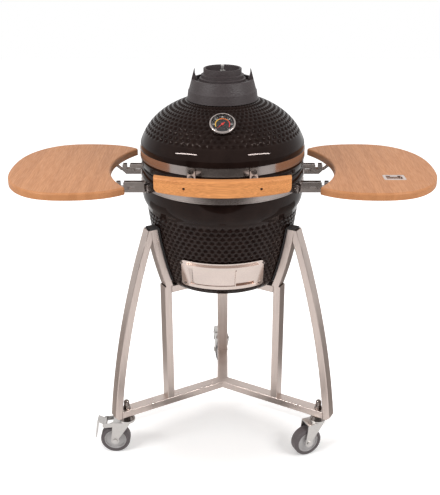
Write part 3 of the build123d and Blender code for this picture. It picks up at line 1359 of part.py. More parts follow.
with BuildPart() as stem:
    with BuildSketch(Plane.XY.offset(STEM_LOW_Z)):
        Circle(STEM_BOLT_R)
    extrude(amount=SPOKE_TOP_Z + STEM_HEX_H - STEM_LOW_Z)
    with BuildSketch(Plane.XY.offset(STEM_LOW_Z)):
        RegularPolygon(STEM_HEX_R, 6)
    extrude(amount=4.0 - RACE_GAP)
    with BuildSketch(Plane.XY.offset(RACE_TOP_LOW_Z)):
        Circle(RACE_R)
    extrude(amount=SPOKE_LOW_Z - RACE_TOP_LOW_Z, taper=20)
    with BuildSketch(Plane.XY.offset(SPOKE_TOP_Z)):
        Circle(STEM_WASHER_R)
    extrude(amount=STEM_WASHER_T)
    with BuildSketch(Plane.XY.offset(SPOKE_TOP_Z + STEM_WASHER_T)):
        RegularPolygon(STEM_HEX_R, 6)
    extrude(amount=STEM_HEX_H)
    dome_low_z = SPOKE_TOP_Z + STEM_WASHER_T + STEM_HEX_H
    with BuildSketch(Plane.XY.offset(dome_low_z)) as dome_base:
        Circle(STEM_DOME_R)
    extrude(to_extrude=dome_base.sketch, amount=STEM_DOME_H)
    fillet(stem.edges().group_by(Axis.Z)[-1], STEM_DOME_R - 0.5)

with BuildPart() as caster_stems:
    with PolarLocations(CASTER_R, LEG_COUNT, start_angle=FIRST_LEG):
        add(stem.part)
finish(caster_stems, "caster_stems")


def fork(has_brake):
    """Pressed swivel fork in the caster's own frame: the stem at the origin, the trail along +X."""
    with BuildPart() as frame:
        with BuildSketch(Plane.XY.offset(FORK_TOP_Z - FORK_T)):
            with BuildLine():
                width = FORK_INNER_W + 2 * FORK_T
                nose = ThreePointArc((0, -width / 2), (FORK_BACK_X, 0), (0, width / 2))
                Polyline(nose @ 1, (FORK_FRONT_X, width / 2), (FORK_FRONT_X, -width / 2), nose @ 0)
            make_face()
            Circle(STEM_BOLT_R + RUNNING, mode=Mode.SUBTRACT)
        extrude(amount=FORK_T)
        with BuildSketch(Plane.XY.offset(FORK_TOP_Z)):
            Circle(RACE_R)
            Circle(STEM_BOLT_R + RACE_BORE, mode=Mode.SUBTRACT)
        extrude(amount=RACE_LOW_T, taper=0)
        for side in (-1, 1):
            with BuildSketch(Plane.XZ.offset(-side * FORK_INNER_W / 2)) as leg:
                with BuildLine():
                    Polyline(
                        (FORK_BACK_X / 2, FORK_TOP_Z),
                        (TRAIL - FORK_EYE_R * 0.8, WHEEL_R + FORK_EYE_R * 0.4),
                        (TRAIL + FORK_EYE_R, WHEEL_R),
                        (FORK_FRONT_X + 3.0, FORK_TOP_Z - 24.0),
                        (FORK_FRONT_X, FORK_TOP_Z),
                        close=True,
                    )
                make_face()
                with Locations((TRAIL, WHEEL_R)):
                    Circle(FORK_EYE_R)
                    Circle(AXLE_R, mode=Mode.SUBTRACT)
            extrude(to_extrude=leg.sketch, amount=-side * FORK_T)
            if has_brake:
                with BuildSketch(Plane.XZ.offset(-side * FORK_INNER_W / 2)) as ear:
                    with BuildLine():
                        Polyline(
                            (FORK_FRONT_X - 10.0, FORK_TOP_Z),
                            (FORK_FRONT_X - 10.0, FORK_TOP_Z - 12.0),
                            (BRAKE_ARM_X, BRAKE_ARM_Z - BRAKE_EAR_R),
                            (BRAKE_ARM_X, BRAKE_ARM_Z + BRAKE_EAR_R),
                            close=True,
                        )
                    make_face()
                    with Locations((BRAKE_ARM_X, BRAKE_ARM_Z)):
                        Circle(BRAKE_EAR_R)
                        Circle(BRAKE_PIN_R + RUNNING, mode=Mode.SUBTRACT)
                extrude(to_extrude=ear.sketch, amount=-side * FORK_T)
    return frame


def brake():
    """Foot pedal with its pivot pin, a top flap and a face that hangs outside the wheel."""
    with BuildPart() as pedal:
        with BuildSketch(Plane.XZ) as flap:
            with BuildLine():
                Polyline(
                    (BRAKE_ARM_X, BRAKE_ARM_Z + BRAKE_PIN_R),
                    (BRAKE_FLAP_X, BRAKE_FLAP_Z),
                    (BRAKE_TIP_X + BRAKE_T, BRAKE_TIP_Z),
                    (BRAKE_TIP_X, BRAKE_TIP_Z),
                    (BRAKE_FLAP_X - BRAKE_T, BRAKE_FLAP_Z - BRAKE_T * 1.5),
                    (BRAKE_ARM_X, BRAKE_ARM_Z + BRAKE_PIN_R - BRAKE_T),
                    close=True,
                )
            make_face()
        extrude(to_extrude=flap.sketch, amount=BRAKE_W / 2, both=True)
        with BuildSketch(Plane.XZ) as barrel:
            with Locations((BRAKE_ARM_X, BRAKE_ARM_Z)):
                Circle(BRAKE_EAR_R - 1.0)
        extrude(to_extrude=barrel.sketch, amount=BRAKE_W / 2, both=True)
        with BuildSketch(Plane.XZ) as pin:
            with Locations((BRAKE_ARM_X, BRAKE_ARM_Z)):
                Circle(BRAKE_PIN_R)
        extrude(to_extrude=pin.sketch, amount=FORK_INNER_W / 2 + FORK_T, both=True)
    return pedal


with BuildPart() as axle:
    with BuildSketch(Plane.XZ) as shaft:
        with Locations((TRAIL, WHEEL_R)):
            Circle(AXLE_R)
    extrude(to_extrude=shaft.sketch, amount=FORK_INNER_W / 2 + FORK_T, both=True)
    for side in (-1, 1):
        with BuildSketch(Plane.XZ.offset(-side * (FORK_INNER_W / 2 + FORK_T))) as head:
            with Locations((TRAIL, WHEEL_R)):
                RegularPolygon(AXLE_HEAD_R, 6)
        extrude(to_extrude=head.sketch, amount=-side * AXLE_HEAD_T)

with BuildPart() as hub:
    with BuildSketch(Plane.XZ) as hub_face:
        with Locations((TRAIL, WHEEL_R)):
            Circle(WHEEL_HUB_R)
            Circle(AXLE_R + RUNNING, mode=Mode.SUBTRACT)
    extrude(to_extrude=hub_face.sketch, amount=WHEEL_HUB_W / 2, both=True)
    for side in (-1, 1):
        with BuildSketch(Plane.XZ.offset(-side * WHEEL_HUB_W / 2)) as dish:
            with Locations((TRAIL, WHEEL_R)):
                Circle(WHEEL_HUB_R - 3.0)
                Circle(FORK_EYE_R, mode=Mode.SUBTRACT)
        extrude(to_extrude=dish.sketch, amount=side * 3.0, mode=Mode.SUBTRACT)
    with BuildSketch(Plane.XZ) as boss:
        with Locations((TRAIL, WHEEL_R)):
            Circle(FORK_EYE_R)
            Circle(AXLE_R + RUNNING, mode=Mode.SUBTRACT)
    extrude(to_extrude=boss.sketch, amount=FORK_INNER_W / 2 - FACE_GAP, both=True)

with BuildPart() as tyre:
    with BuildSketch(Plane.XZ) as tyre_face:
        with Locations((TRAIL, WHEEL_R)):
            Circle(WHEEL_R)
    extrude(to_extrude=tyre_face.sketch, amount=WHEEL_W / 2, both=True)
    fillet(tyre.edges(), TYRE_ROUND)
    with BuildSketch(Plane.XZ) as seat:
        with Locations((TRAIL, WHEEL_R)):
            Circle(WHEEL_HUB_R)
    extrude(to_extrude=seat.sketch, amount=WHEEL_W, both=True, mode=Mode.SUBTRACT)

for name, (azimuth, heading, has_brake) in CASTERS.items():
    turn = radians(azimuth)
    stand_at = Location((CASTER_R * cos(turn), CASTER_R * sin(turn), 0), (0, 0, heading))
    pieces = {"fork": fork(has_brake), "axle": axle, "hub": hub, "tyre": tyre}
    if has_brake:
        pieces["brake"] = brake()
    for piece_name, piece in pieces.items():
        with BuildPart() as placed:
            with Locations(stand_at):
                add(piece.part)
        finish(placed, f"caster_{piece_name}_{name}")
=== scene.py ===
"""Looks of a kamado ceramic grill on a three-legged caster stand.

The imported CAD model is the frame. The two glazed shells are turned again here with their pressed
dimples, the thermometer gets its printed dial, and every other piece keeps its CAD shape under a
finish of its own. Lengths are metres; the grill's axis is the Z axis and its front faces -Y.
"""

import logging
import math
from dataclasses import dataclass
from enum import Enum
from functools import partial
from typing import Optional, Sequence

import bmesh
import bpy
from mathutils import Matrix, Vector

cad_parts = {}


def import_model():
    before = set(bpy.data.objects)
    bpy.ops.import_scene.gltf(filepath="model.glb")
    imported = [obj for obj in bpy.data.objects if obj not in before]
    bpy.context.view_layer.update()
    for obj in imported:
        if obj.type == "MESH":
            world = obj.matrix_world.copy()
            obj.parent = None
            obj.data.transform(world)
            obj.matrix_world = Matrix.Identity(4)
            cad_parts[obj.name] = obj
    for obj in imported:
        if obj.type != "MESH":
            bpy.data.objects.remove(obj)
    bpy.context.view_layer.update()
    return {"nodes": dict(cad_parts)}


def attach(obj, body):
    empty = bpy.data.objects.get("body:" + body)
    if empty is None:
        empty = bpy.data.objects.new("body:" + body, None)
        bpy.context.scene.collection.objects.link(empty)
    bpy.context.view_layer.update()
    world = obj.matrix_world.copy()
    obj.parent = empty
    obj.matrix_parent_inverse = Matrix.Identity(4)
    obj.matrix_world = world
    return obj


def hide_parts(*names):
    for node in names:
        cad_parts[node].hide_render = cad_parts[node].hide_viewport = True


log = logging.getLogger("kamado")

Colour = tuple[float, float, float, float]
Point = tuple[float, float, float]
ProfilePoint = tuple[float, float]
Piece = bpy.types.Object
Material = bpy.types.Material
Node = bpy.types.Node
Socket = bpy.types.NodeSocket
Tree = bpy.types.NodeTree
Window = tuple[float, float, float, float]

EVEN: Point = (1.0, 1.0, 1.0)
WHITE: Colour = (1.0, 1.0, 1.0, 1.0)
NOISE_MIDDLE = (0.3, 0.7)
MIX_FACTOR, MIX_FIRST, MIX_SECOND, MIX_RESULT = 0, 6, 7, 2
FRONT_TURN = -math.pi / 2
TINY = 1e-9
DEGREES_A_STEP = 6
GLOSS = "gloss"
SPECULAR = "Specular IOR Level"
SURFACE = {"Color": "NodeSocketColor", "Roughness": "NodeSocketFloat", "Height": "NodeSocketFloat"}


def solid(colour: Point) -> Colour:
    """Make a colour opaque.

    Args:
        colour: linear red, green and blue.

    Returns:
        The colour with its alpha.
    """
    return (*colour, 1.0)


class Run(Enum):
    """Direction in which a grain or a brushed finish runs."""

    ALONG_X = (0.04, 1.0, 1.0)
    ALONG_Y = (1.0, 0.04, 1.0)
    ALONG_Z = (1.0, 1.0, 0.04)
    ROUND = (0.5, 0.5, 1.0)


# --- shader helpers
@dataclass
class Graph:
    """Adds nodes to one node tree and joins them.

    Attributes:
        tree: the node tree that gets the nodes.
    """

    tree: Tree

    def add(self, kind: str, **settings: object) -> Node:
        """Add a node and set its plain properties.

        Args:
            kind: Blender's name of the node type.
            settings: properties of the node.

        Returns:
            The new node.
        """
        node = self.tree.nodes.new(kind)
        for name, value in settings.items():
            setattr(node, name, value)
        return node

    def wire(self, node: Node, inputs: dict[str | int, object]) -> None:
        """Link sockets into a node's inputs, or set the inputs' own values.

        Args:
            node: the node.
            inputs: an output socket or a plain value by input name or number.
        """
        for name, value in inputs.items():
            if isinstance(value, Socket):
                self.tree.links.new(value, node.inputs[name])
            else:
                node.inputs[name].default_value = value

    def math(self, operation: str, first: object, second: object = 0.0) -> Socket:
        """One arithmetic step.

        Args:
            operation: Blender's name of the operation.
            first: a socket or a number.
            second: a socket or a number.

        Returns:
            The result's socket.
        """
        node = self.add("ShaderNodeMath", operation=operation)
        self.wire(node, {0: first, 1: second})
        return node.outputs[0]

    def stretched(self, stretch: object) -> Socket:
        """Object coordinates, squeezed so that a pattern runs along one direction.

        Args:
            stretch: three factors, as a socket or a tuple.

        Returns:
            The coordinates' socket.
        """
        scale = self.add("ShaderNodeVectorMath", operation="MULTIPLY")
        self.wire(scale, {0: self.add("ShaderNodeTexCoord").outputs["Object"], 1: stretch})
        return scale.outputs[0]

    def noise(self, place: object, scale: object, detail: float) -> Socket:
        """A noise pattern's value.

        Args:
            place: coordinates.
            scale: how fine the pattern is.
            detail: how many finer layers it has.

        Returns:
            The value's socket, from 0 to 1.
        """
        node = self.add("ShaderNodeTexNoise")
        self.wire(node, {"Vector": place, "Scale": scale, "Detail": detail})
        return node.outputs["Fac"]

    def spread(self, value: object, low: object, high: object) -> Socket:
        """Map the middle of a noise's range onto a range of its own.

        Args:
            value: the noise.
            low: result where the noise is low.
            high: result where it is high.

        Returns:
            The result's socket.
        """
        node = self.add("ShaderNodeMapRange")
        self.wire(node, {"Value": value, "To Min": low, "To Max": high})
        self.wire(node, {"From Min": NOISE_MIDDLE[0], "From Max": NOISE_MIDDLE[1]})
        return node.outputs["Result"]

    def blend(self, factor: object, first: object, second: object) -> Socket:
        """Mix two colours.

        Args:
            factor: how much of the second one shows.
            first: a colour or a socket.
            second: a colour or a socket.

        Returns:
            The colour's socket.
        """
        node = self.add("ShaderNodeMix", data_type="RGBA")
        self.wire(node, {MIX_FACTOR: factor, MIX_FIRST: first, MIX_SECOND: second})
        return node.outputs[MIX_RESULT]

    def group(self, tree: Tree, **values: object) -> Node:
        """Add one of the shared effects.

        Args:
            tree: the effect's node group.
            values: its inputs by name.

        Returns:
            The group's node.
        """
        node = self.add("ShaderNodeGroup", node_tree=tree)
        self.wire(node, values)
        return node


def new_group(
    name: str, inputs: dict[str, object], outputs: dict[str, str]
) -> tuple[Tree, Graph, Sequence[Socket], Node]:
    """Start a shader node group with named sockets.

    Args:
        name: the group's name.
        inputs: default value of each input; a float, a colour or a vector.
        outputs: socket type of each output.

    Returns:
        The group, a graph to fill it with, its inputs, and the node that takes its outputs.
    """
    tree = bpy.data.node_groups.new(name, "ShaderNodeTree")
    for label, value in inputs.items():
        kind = "NodeSocketFloat"
        if isinstance(value, tuple):
            kind = "NodeSocketColor" if len(value) == 4 else "NodeSocketVector"
        socket = tree.interface.new_socket(name=label, in_out="INPUT", socket_type=kind)
        socket.default_value = value
    for label, kind in outputs.items():
        tree.interface.new_socket(name=label, in_out="OUTPUT", socket_type=kind)
    graph = Graph(tree)
    return tree, graph, graph.add("NodeGroupInput").outputs, graph.add("NodeGroupOutput")


class Effects:
    """The shader node groups that the finishes share, each built once."""

    broad_share, layer_weight = 0.06, 0.5
    fibre_scale, cloud_scale = 700.0, 60.0
    strip_tones, fibre_tones, cloud_tones = 0.25, (-0.1, 0.6), (0.0, 0.3)
    seam_from, seam_tone, seam_depth = 0.485, 0.12, 0.6
    wood_roughness = (0.36, 0.52)

    def __init__(self) -> None:
        """Build every group."""
        self.grain = self._grain()
        self.planks = self._planks()
        self.dust = self._dust()

    def _grain(self) -> Tree:
        """Directional grain of brushed, cast or rolled surfaces.

        Returns:
            A group that gives a colour, a roughness and a height.
        """
        tree, graph, given, result = new_group(
            "directional_grain",
            {
                "Stretch": EVEN,
                "Scale": 400.0,
                "Light": WHITE,
                "Dark": WHITE,
                "Smooth": 0.2,
                "Rough": 0.3,
            },
            SURFACE,
        )
        place = graph.stretched(given["Stretch"])
        fine = graph.noise(place, given["Scale"], detail=4.0)
        broad = graph.noise(place, graph.math("MULTIPLY", given["Scale"], self.broad_share), detail=2.0)
        layers = [graph.math("MULTIPLY", layer, self.layer_weight) for layer in (fine, broad)]
        mask = graph.spread(graph.math("ADD", *layers), 0.0, 1.0)
        colour = graph.blend(mask, given["Dark"], given["Light"])
        roughness = graph.spread(broad, given["Smooth"], given["Rough"])
        graph.wire(result, {"Color": colour, "Roughness": roughness, "Height": fine})
        return tree

    def _planks(self) -> Tree:
        """Glued bamboo strips with fibres, soft clouds and fine seams.

        Returns:
            A group that gives a colour, a roughness and a height.
        """
        tree, graph, given, result = new_group(
            "bamboo_strips",
            {
                "Across": (1.0, 0.0, 0.0),
                "Stretch": (1.0, 0.04, 1.0),
                "Strip": 0.02,
                "Light": WHITE,
                "Dark": WHITE,
            },
            SURFACE,
        )
        across = graph.add("ShaderNodeVectorMath", operation="DOT_PRODUCT")
        graph.wire(across, {0: graph.add("ShaderNodeTexCoord").outputs["Object"], 1: given["Across"]})
        lane = graph.math("DIVIDE", across.outputs["Value"], given["Strip"])
        shade = graph.add("ShaderNodeTexWhiteNoise", noise_dimensions="1D")
        graph.wire(shade, {"W": graph.math("FLOOR", lane)})
        inside = graph.math("FRACT", lane)
        gap = graph.math("ABSOLUTE", graph.math("SUBTRACT", inside, 0.5))
        seam = graph.math("GREATER_THAN", gap, self.seam_from)
        fibres = graph.noise(graph.stretched(given["Stretch"]), self.fibre_scale, detail=5.0)
        clouds = graph.noise(graph.stretched(given["Stretch"]), self.cloud_scale, detail=3.0)
        tone = graph.math("MULTIPLY", shade.outputs["Value"], self.strip_tones)
        tone = graph.math("ADD", tone, graph.spread(fibres, *self.fibre_tones))
        tone = graph.math("ADD", tone, graph.spread(clouds, *self.cloud_tones))
        tone = graph.math("ADD", tone, graph.math("MULTIPLY", seam, self.seam_tone))
        colour = graph.blend(tone, given["Light"], given["Dark"])
        roughness = graph.spread(fibres, *self.wood_roughness)
        height = graph.math("SUBTRACT", fibres, graph.math("MULTIPLY", seam, self.seam_depth))
        graph.wire(result, {"Color": colour, "Roughness": roughness, "Height": height})
        return tree

    def _dust(self) -> Tree:
        """Faint handling marks that change only how glossy a surface is.

        Returns:
            A group that gives a roughness.
        """
        tree, graph, given, result = new_group(
            "handling_marks",
            {"Scale": 18.0, "Clean": 0.1, "Marked": 0.2},
            {"Roughness": "NodeSocketFloat"},
        )
        cloud = graph.noise(graph.stretched(EVEN), given["Scale"], detail=5.0)
        graph.wire(result, {"Roughness": graph.spread(cloud, given["Clean"], given["Marked"])})
        return tree


# --- finishes
@dataclass(frozen=True)
class Finish:
    """A finish with a colour that varies a little over the surface.

    Attributes:
        name: the material's name.
        light: colour where the surface is lightest.
        dark: colour where it is darkest.
        metallic: 1 for bare metal.
        smooth: roughness of the glossiest spots.
        rough: roughness of the dullest spots.
        run: direction of the grain.
        scale: how fine the grain is.
        relief: height of the grain, in metres.
        specular: how much it mirrors when it isn't metal.
    """

    name: str
    light: Point
    dark: Point
    metallic: float = 0.0
    smooth: float = 0.3
    rough: float = 0.45
    run: Run = Run.ROUND
    scale: float = 400.0
    relief: float = 0.0001
    specular: float = 0.5

    def build(self, effects: Effects) -> Material:
        """Make the material.

        Args:
            effects: the shared node groups.

        Returns:
            The new material.
        """
        material, graph, shader = new_material(self.name)
        grain = graph.group(
            effects.grain,
            Stretch=self.run.value,
            Scale=self.scale,
            Light=solid(self.light),
            Dark=solid(self.dark),
            Smooth=self.smooth,
            Rough=self.rough,
        )
        graph.wire(shader, {"Metallic": self.metallic, SPECULAR: self.specular})
        graph.wire(shader, {"Base Color": grain.outputs["Color"], "Roughness": grain.outputs["Roughness"]})
        raise_surface(graph, shader, grain.outputs["Height"], self.relief)
        return material


@dataclass(frozen=True)
class Glaze:
    """Deep black glaze of the ceramic shells.

    Attributes:
        name: the material's name.
        colour: body colour under the gloss.
        warm: slightly browner colour in patches.
        tint: colour of what it mirrors.
        clean: roughness where it is clean.
        marked: roughness where it has been handled.
        patch_scale: how fine the patches are.
        ripple_scale: how fine its ripples are.
        ripple: height of the ripples.
    """

    name: str
    colour: Point
    warm: Point
    tint: Point = (1.0, 0.84, 0.79)
    clean: float = 0.02
    marked: float = 0.04
    patch_scale: float = 30.0
    ripple_scale: float = 40.0
    ripple: float = 0.00006

    def build(self, effects: Effects) -> Material:
        """Make the material.

        Args:
            effects: the shared node groups.

        Returns:
            The new material.
        """
        material, graph, shader = new_material(self.name)
        place = graph.stretched(EVEN)
        patches = graph.spread(graph.noise(place, self.patch_scale, detail=4.0), 0.0, 1.0)
        marks = graph.group(effects.dust, Clean=self.clean, Marked=self.marked)
        # The specular level comes from the shell's gloss attribute, which is lowered in the dimples as a
        # painted shade.
        gloss = graph.add("ShaderNodeAttribute", attribute_name=GLOSS)
        graph.wire(shader, {SPECULAR: gloss.outputs["Fac"], "Specular Tint": solid(self.tint)})
        colour = graph.blend(patches, solid(self.colour), solid(self.warm))
        graph.wire(shader, {"Base Color": colour, "Roughness": marks.outputs["Roughness"]})
        raise_surface(graph, shader, graph.noise(place, self.ripple_scale, detail=2.0), self.ripple)
        return material


@dataclass(frozen=True)
class Bamboo:
    """Oiled bamboo board.

    Attributes:
        name: the material's name.
        light: colour of the palest strips.
        dark: colour of the darkest strips.
        across: direction across the strips.
        run: direction along the strips.
        strip: width of a strip.
        specular: how much the oiled surface mirrors.
        relief: height of the fibres.
    """

    name: str
    light: Point
    dark: Point
    across: Point
    run: Run
    strip: float
    specular: float = 0.25
    relief: float = 0.0001

    def build(self, effects: Effects) -> Material:
        """Make the material.

        Args:
            effects: the shared node groups.

        Returns:
            The new material.
        """
        material, graph, shader = new_material(self.name)
        strips = graph.group(
            effects.planks,
            Across=self.across,
            Stretch=self.run.value,
            Strip=self.strip,
            Light=solid(self.light),
            Dark=solid(self.dark),
        )
        graph.wire(shader, {"Base Color": strips.outputs["Color"], SPECULAR: self.specular})
        graph.wire(shader, {"Roughness": strips.outputs["Roughness"]})
        raise_surface(graph, shader, strips.outputs["Height"], self.relief)
        return material


@dataclass(frozen=True)
class ClearGlass:
    """Thin glass of the thermometer.

    Attributes:
        name: the material's name.
        clearness: how much of what is behind it shows.
        colour: colour of what it hides.
        mark_scale: how fine the handling marks are.
        clean: roughness where it is clean.
        marked: roughness where it has been handled.
    """

    name: str
    clearness: float
    colour: Point = (0.03, 0.03, 0.03)
    mark_scale: float = 120.0
    clean: float = 0.03
    marked: float = 0.08

    def build(self, effects: Effects) -> Material:
        """Make the material.

        Args:
            effects: the shared node groups.

        Returns:
            The new material.
        """
        material, graph, shader = new_material(self.name)
        marks = graph.group(effects.dust, Scale=self.mark_scale, Clean=self.clean, Marked=self.marked)
        graph.wire(shader, {"Roughness": marks.outputs["Roughness"], "Base Color": solid(self.colour)})
        graph.wire(shader, {"Alpha": 1.0 - self.clearness})
        return material


def new_material(name: str) -> tuple[Material, Graph, Node]:
    """Start a material with a Principled shader.

    Args:
        name: the material's name.

    Returns:
        The material, a graph on its tree, and the shader.
    """
    material = bpy.data.materials.new(name)
    material.use_nodes = True
    graph = Graph(material.node_tree)
    shader = material.node_tree.nodes["Principled BSDF"]
    return material, graph, shader


def raise_surface(graph: Graph, shader: Node, height: Socket, depth: float) -> None:
    """Give a shader a bump.

    Args:
        graph: graph of the material.
        shader: the Principled shader.
        height: pattern from 0 to 1.
        depth: height of the pattern, in metres.
    """
    bump = graph.add("ShaderNodeBump")
    graph.wire(bump, {"Distance": depth, "Strength": 1.0, "Height": height})
    graph.wire(shader, {"Normal": bump.outputs["Normal"]})


# A node takes the first finish that has the start of its name, and else the plain one.
NODES_OF_FINISH = {
    "screw_steel": ("lower_band_bolts", "upper_band_bolts", "ash_screws", "caster_stems"),
    "felt_black": ("base_gasket", "lid_gasket"),
    "bare_clay": ("fire_box", "fire_ring"),
    "cast_iron_black": ("charcoal_grate", "vent_cap", "vent_wheel"),
    "polished_steel": ("cooking_grid", "handle_brackets", "opener", "ash_frame", "ash_door"),
    "shaded_band_steel": ("lower_band", "upper_band", "gauge_bezel"),
    "bracket_steel": ("hinge_base", "hinge_arm", "shelf_arms", "shelf_hooks"),
    "bamboo_shelf": ("shelf_",),
    "bamboo_handle": ("handle_bar",),
    "enamel_black": ("handle_screws", "gauge_dial"),
    "needle_red": ("gauge_needle",),
    "gauge_glass_clear": ("gauge_glass",),
    "zinc_plate": ("vent_spindle", "gauge_stem", "hinge_pin", "caster_fork", "caster_axle", "caster_brake"),
    "rubber_black": ("cradle_pads", "end_plugs"),
    "hub_grey": ("caster_hub",),
    "tyre_grey": ("caster_tyre",),
}
PLAIN_FINISH = "brushed_steel"


class Workshop:
    """All finishes by name, and the way to put one on a piece."""

    def __init__(self) -> None:
        """Build the shared effects and every finish."""
        effects = Effects()
        steel = partial(Finish, metallic=1.0, relief=0.00003)
        finishes = [
            Glaze("black_glaze", (0.009, 0.0048, 0.004), (0.015, 0.0085, 0.007)),
            Finish("bare_clay", (0.55, 0.50, 0.42), (0.42, 0.37, 0.30), smooth=0.85, rough=0.95),
            Finish(
                "felt_black", (0.06, 0.055, 0.05), (0.03, 0.028, 0.025),
                smooth=0.9, rough=1.0, relief=0.0005,
            ),
            Finish(
                "cast_iron_black", (0.052, 0.040, 0.041), (0.034, 0.026, 0.027),
                smooth=0.40, rough=0.58, scale=380.0, relief=0.0009, specular=0.32,
            ),
            steel(
                "polished_steel", (0.68, 0.58, 0.53), (0.58, 0.49, 0.45),
                smooth=0.10, rough=0.18, relief=0.00002,
            ),
            # Darker than the other steel: a painted shade standing in for the dark things the bands and the
            # bezel mirror.
            steel(
                "shaded_band_steel", (0.44, 0.38, 0.355), (0.34, 0.295, 0.28),
                smooth=0.14, rough=0.22, relief=0.00002,
            ),
            steel(
                "brushed_steel", (0.63, 0.54, 0.495), (0.50, 0.42, 0.385),
                smooth=0.26, rough=0.36, run=Run.ALONG_Z,
            ),
            steel(
                "bracket_steel", (0.50, 0.44, 0.41), (0.36, 0.31, 0.29),
                smooth=0.20, rough=0.32, run=Run.ALONG_X,
            ),
            steel("zinc_plate", (0.62, 0.60, 0.58), (0.50, 0.48, 0.465), smooth=0.30, rough=0.42),
            steel("screw_steel", (0.30, 0.26, 0.24), (0.16, 0.135, 0.125), smooth=0.12, rough=0.24),
            Finish("enamel_black", (0.02, 0.018, 0.018), (0.012, 0.011, 0.011), rough=0.4),
            Finish("print_white", (0.85, 0.83, 0.80), (0.80, 0.78, 0.74), smooth=0.4, rough=0.5),
            Finish("print_yellow", (0.85, 0.50, 0.06), (0.80, 0.45, 0.05), smooth=0.4, rough=0.5),
            Finish("print_orange", (0.85, 0.20, 0.03), (0.80, 0.17, 0.02), smooth=0.4, rough=0.5),
            Finish("needle_red", (0.75, 0.05, 0.04), (0.65, 0.04, 0.03), rough=0.4),
            Finish("rubber_black", (0.05, 0.045, 0.045), (0.03, 0.027, 0.027), smooth=0.6, rough=0.75),
            Finish("tyre_grey", (0.105, 0.088, 0.090), (0.080, 0.067, 0.070), smooth=0.5, rough=0.65),
            Finish("hub_grey", (0.48, 0.46, 0.46), (0.40, 0.385, 0.38), smooth=0.4, rough=0.5),
            Bamboo(
                "bamboo_shelf", (0.57, 0.258, 0.112), (0.39, 0.160, 0.062),
                across=(1.0, 0.0, 0.0), run=Run.ALONG_Y, strip=0.020,
            ),
            Bamboo(
                "bamboo_handle", (0.82, 0.36, 0.125), (0.44, 0.16, 0.05),
                across=(0.0, 0.0, 1.0), run=Run.ALONG_X, strip=0.014,
            ),
            ClearGlass("gauge_glass_clear", clearness=0.93),
        ]
        self.materials = {finish.name: finish.build(effects) for finish in finishes}

    def dress(self, piece: Piece, *names: str) -> None:
        """Put finishes on a piece, in the order of its material slots.

        Args:
            piece: the mesh object.
            names: finish names.
        """
        if piece.data.materials:
            piece.data.materials.clear()
        for name in names:
            piece.data.materials.append(self.materials[name])

    def dress_frame(self, nodes: dict[str, Piece]) -> None:
        """Give each CAD node its finish.

        Args:
            nodes: CAD nodes by name.
        """
        for name, node in nodes.items():
            named = (finish for finish, starts in NODES_OF_FINISH.items() if name.startswith(starts))
            self.dress(node, next(named, PLAIN_FINISH))
        log.info("frame: %d nodes dressed", len(nodes))


# --- mesh helpers
def add_object(name: str, data: bpy.types.ID) -> Piece:
    """Make an object and link it into the scene.

    Args:
        name: the object's name.
        data: its mesh, curve, lamp or camera.

    Returns:
        The object.
    """
    made = bpy.data.objects.new(name, data)
    bpy.context.scene.collection.objects.link(made)
    return made


def mesh_piece(name: str, points: Sequence[Point], faces: Sequence[Sequence[int]]) -> Piece:
    """Make a smooth-shaded mesh object from plain lists.

    Args:
        name: the object's name.
        points: corners, in metres.
        faces: corner numbers of each face.

    Returns:
        The object.
    """
    mesh = bpy.data.meshes.new(name)
    mesh.from_pydata([tuple(point) for point in points], [], [tuple(face) for face in faces])
    mesh.validate()
    mesh.shade_smooth()
    return add_object(name, mesh)


def arc_points(
    centre: ProfilePoint, radii: tuple[float, float], start: float, end: float, steps: int
) -> list[ProfilePoint]:
    """Points along an ellipse's arc in the profile plane.

    Args:
        centre: centre, as (r, z).
        radii: half axes along r and z.
        start: first angle, in degrees.
        end: last angle, in degrees.
        steps: number of equal steps.

    Returns:
        The points, from start to end.
    """
    turns = [math.radians(start + (end - start) * step / steps) for step in range(steps + 1)]
    return [(centre[0] + radii[0] * math.cos(t), centre[1] + radii[1] * math.sin(t)) for t in turns]


def bowed(start: ProfilePoint, end: ProfilePoint, bulge: float, steps: int) -> list[ProfilePoint]:
    """Points along a shallow bow between two profile points.

    Args:
        start: first point.
        end: last point.
        bulge: how far the middle stands to the right of the straight line.
        steps: number of equal steps.

    Returns:
        The points, from start to end.
    """
    run, rise = end[0] - start[0], end[1] - start[1]
    length = math.hypot(run, rise)
    points = []
    for step in range(steps + 1):
        part = step / steps
        lift = 4.0 * bulge * part * (1.0 - part)
        r = start[0] + run * part + lift * rise / length
        points.append((r, start[1] + rise * part - lift * run / length))
    return points


def resample(points: Sequence[ProfilePoint], steps: int) -> list[ProfilePoint]:
    """Spread a profile's points evenly along its length.

    Args:
        points: the profile.
        steps: number of equal steps.

    Returns:
        The new profile.
    """
    lengths = [0.0]
    for first, second in zip(points, points[1:]):
        lengths.append(lengths[-1] + math.dist(first, second))
    even = []
    span = 0
    for step in range(steps + 1):
        target = lengths[-1] * step / steps
        while span < len(points) - 2 and lengths[span + 1] < target:
            span += 1
        part = (target - lengths[span]) / max(lengths[span + 1] - lengths[span], TINY)
        first, second = points[span], points[span + 1]
        even.append((first[0] + (second[0] - first[0]) * part, first[1] + (second[1] - first[1]) * part))
    return even


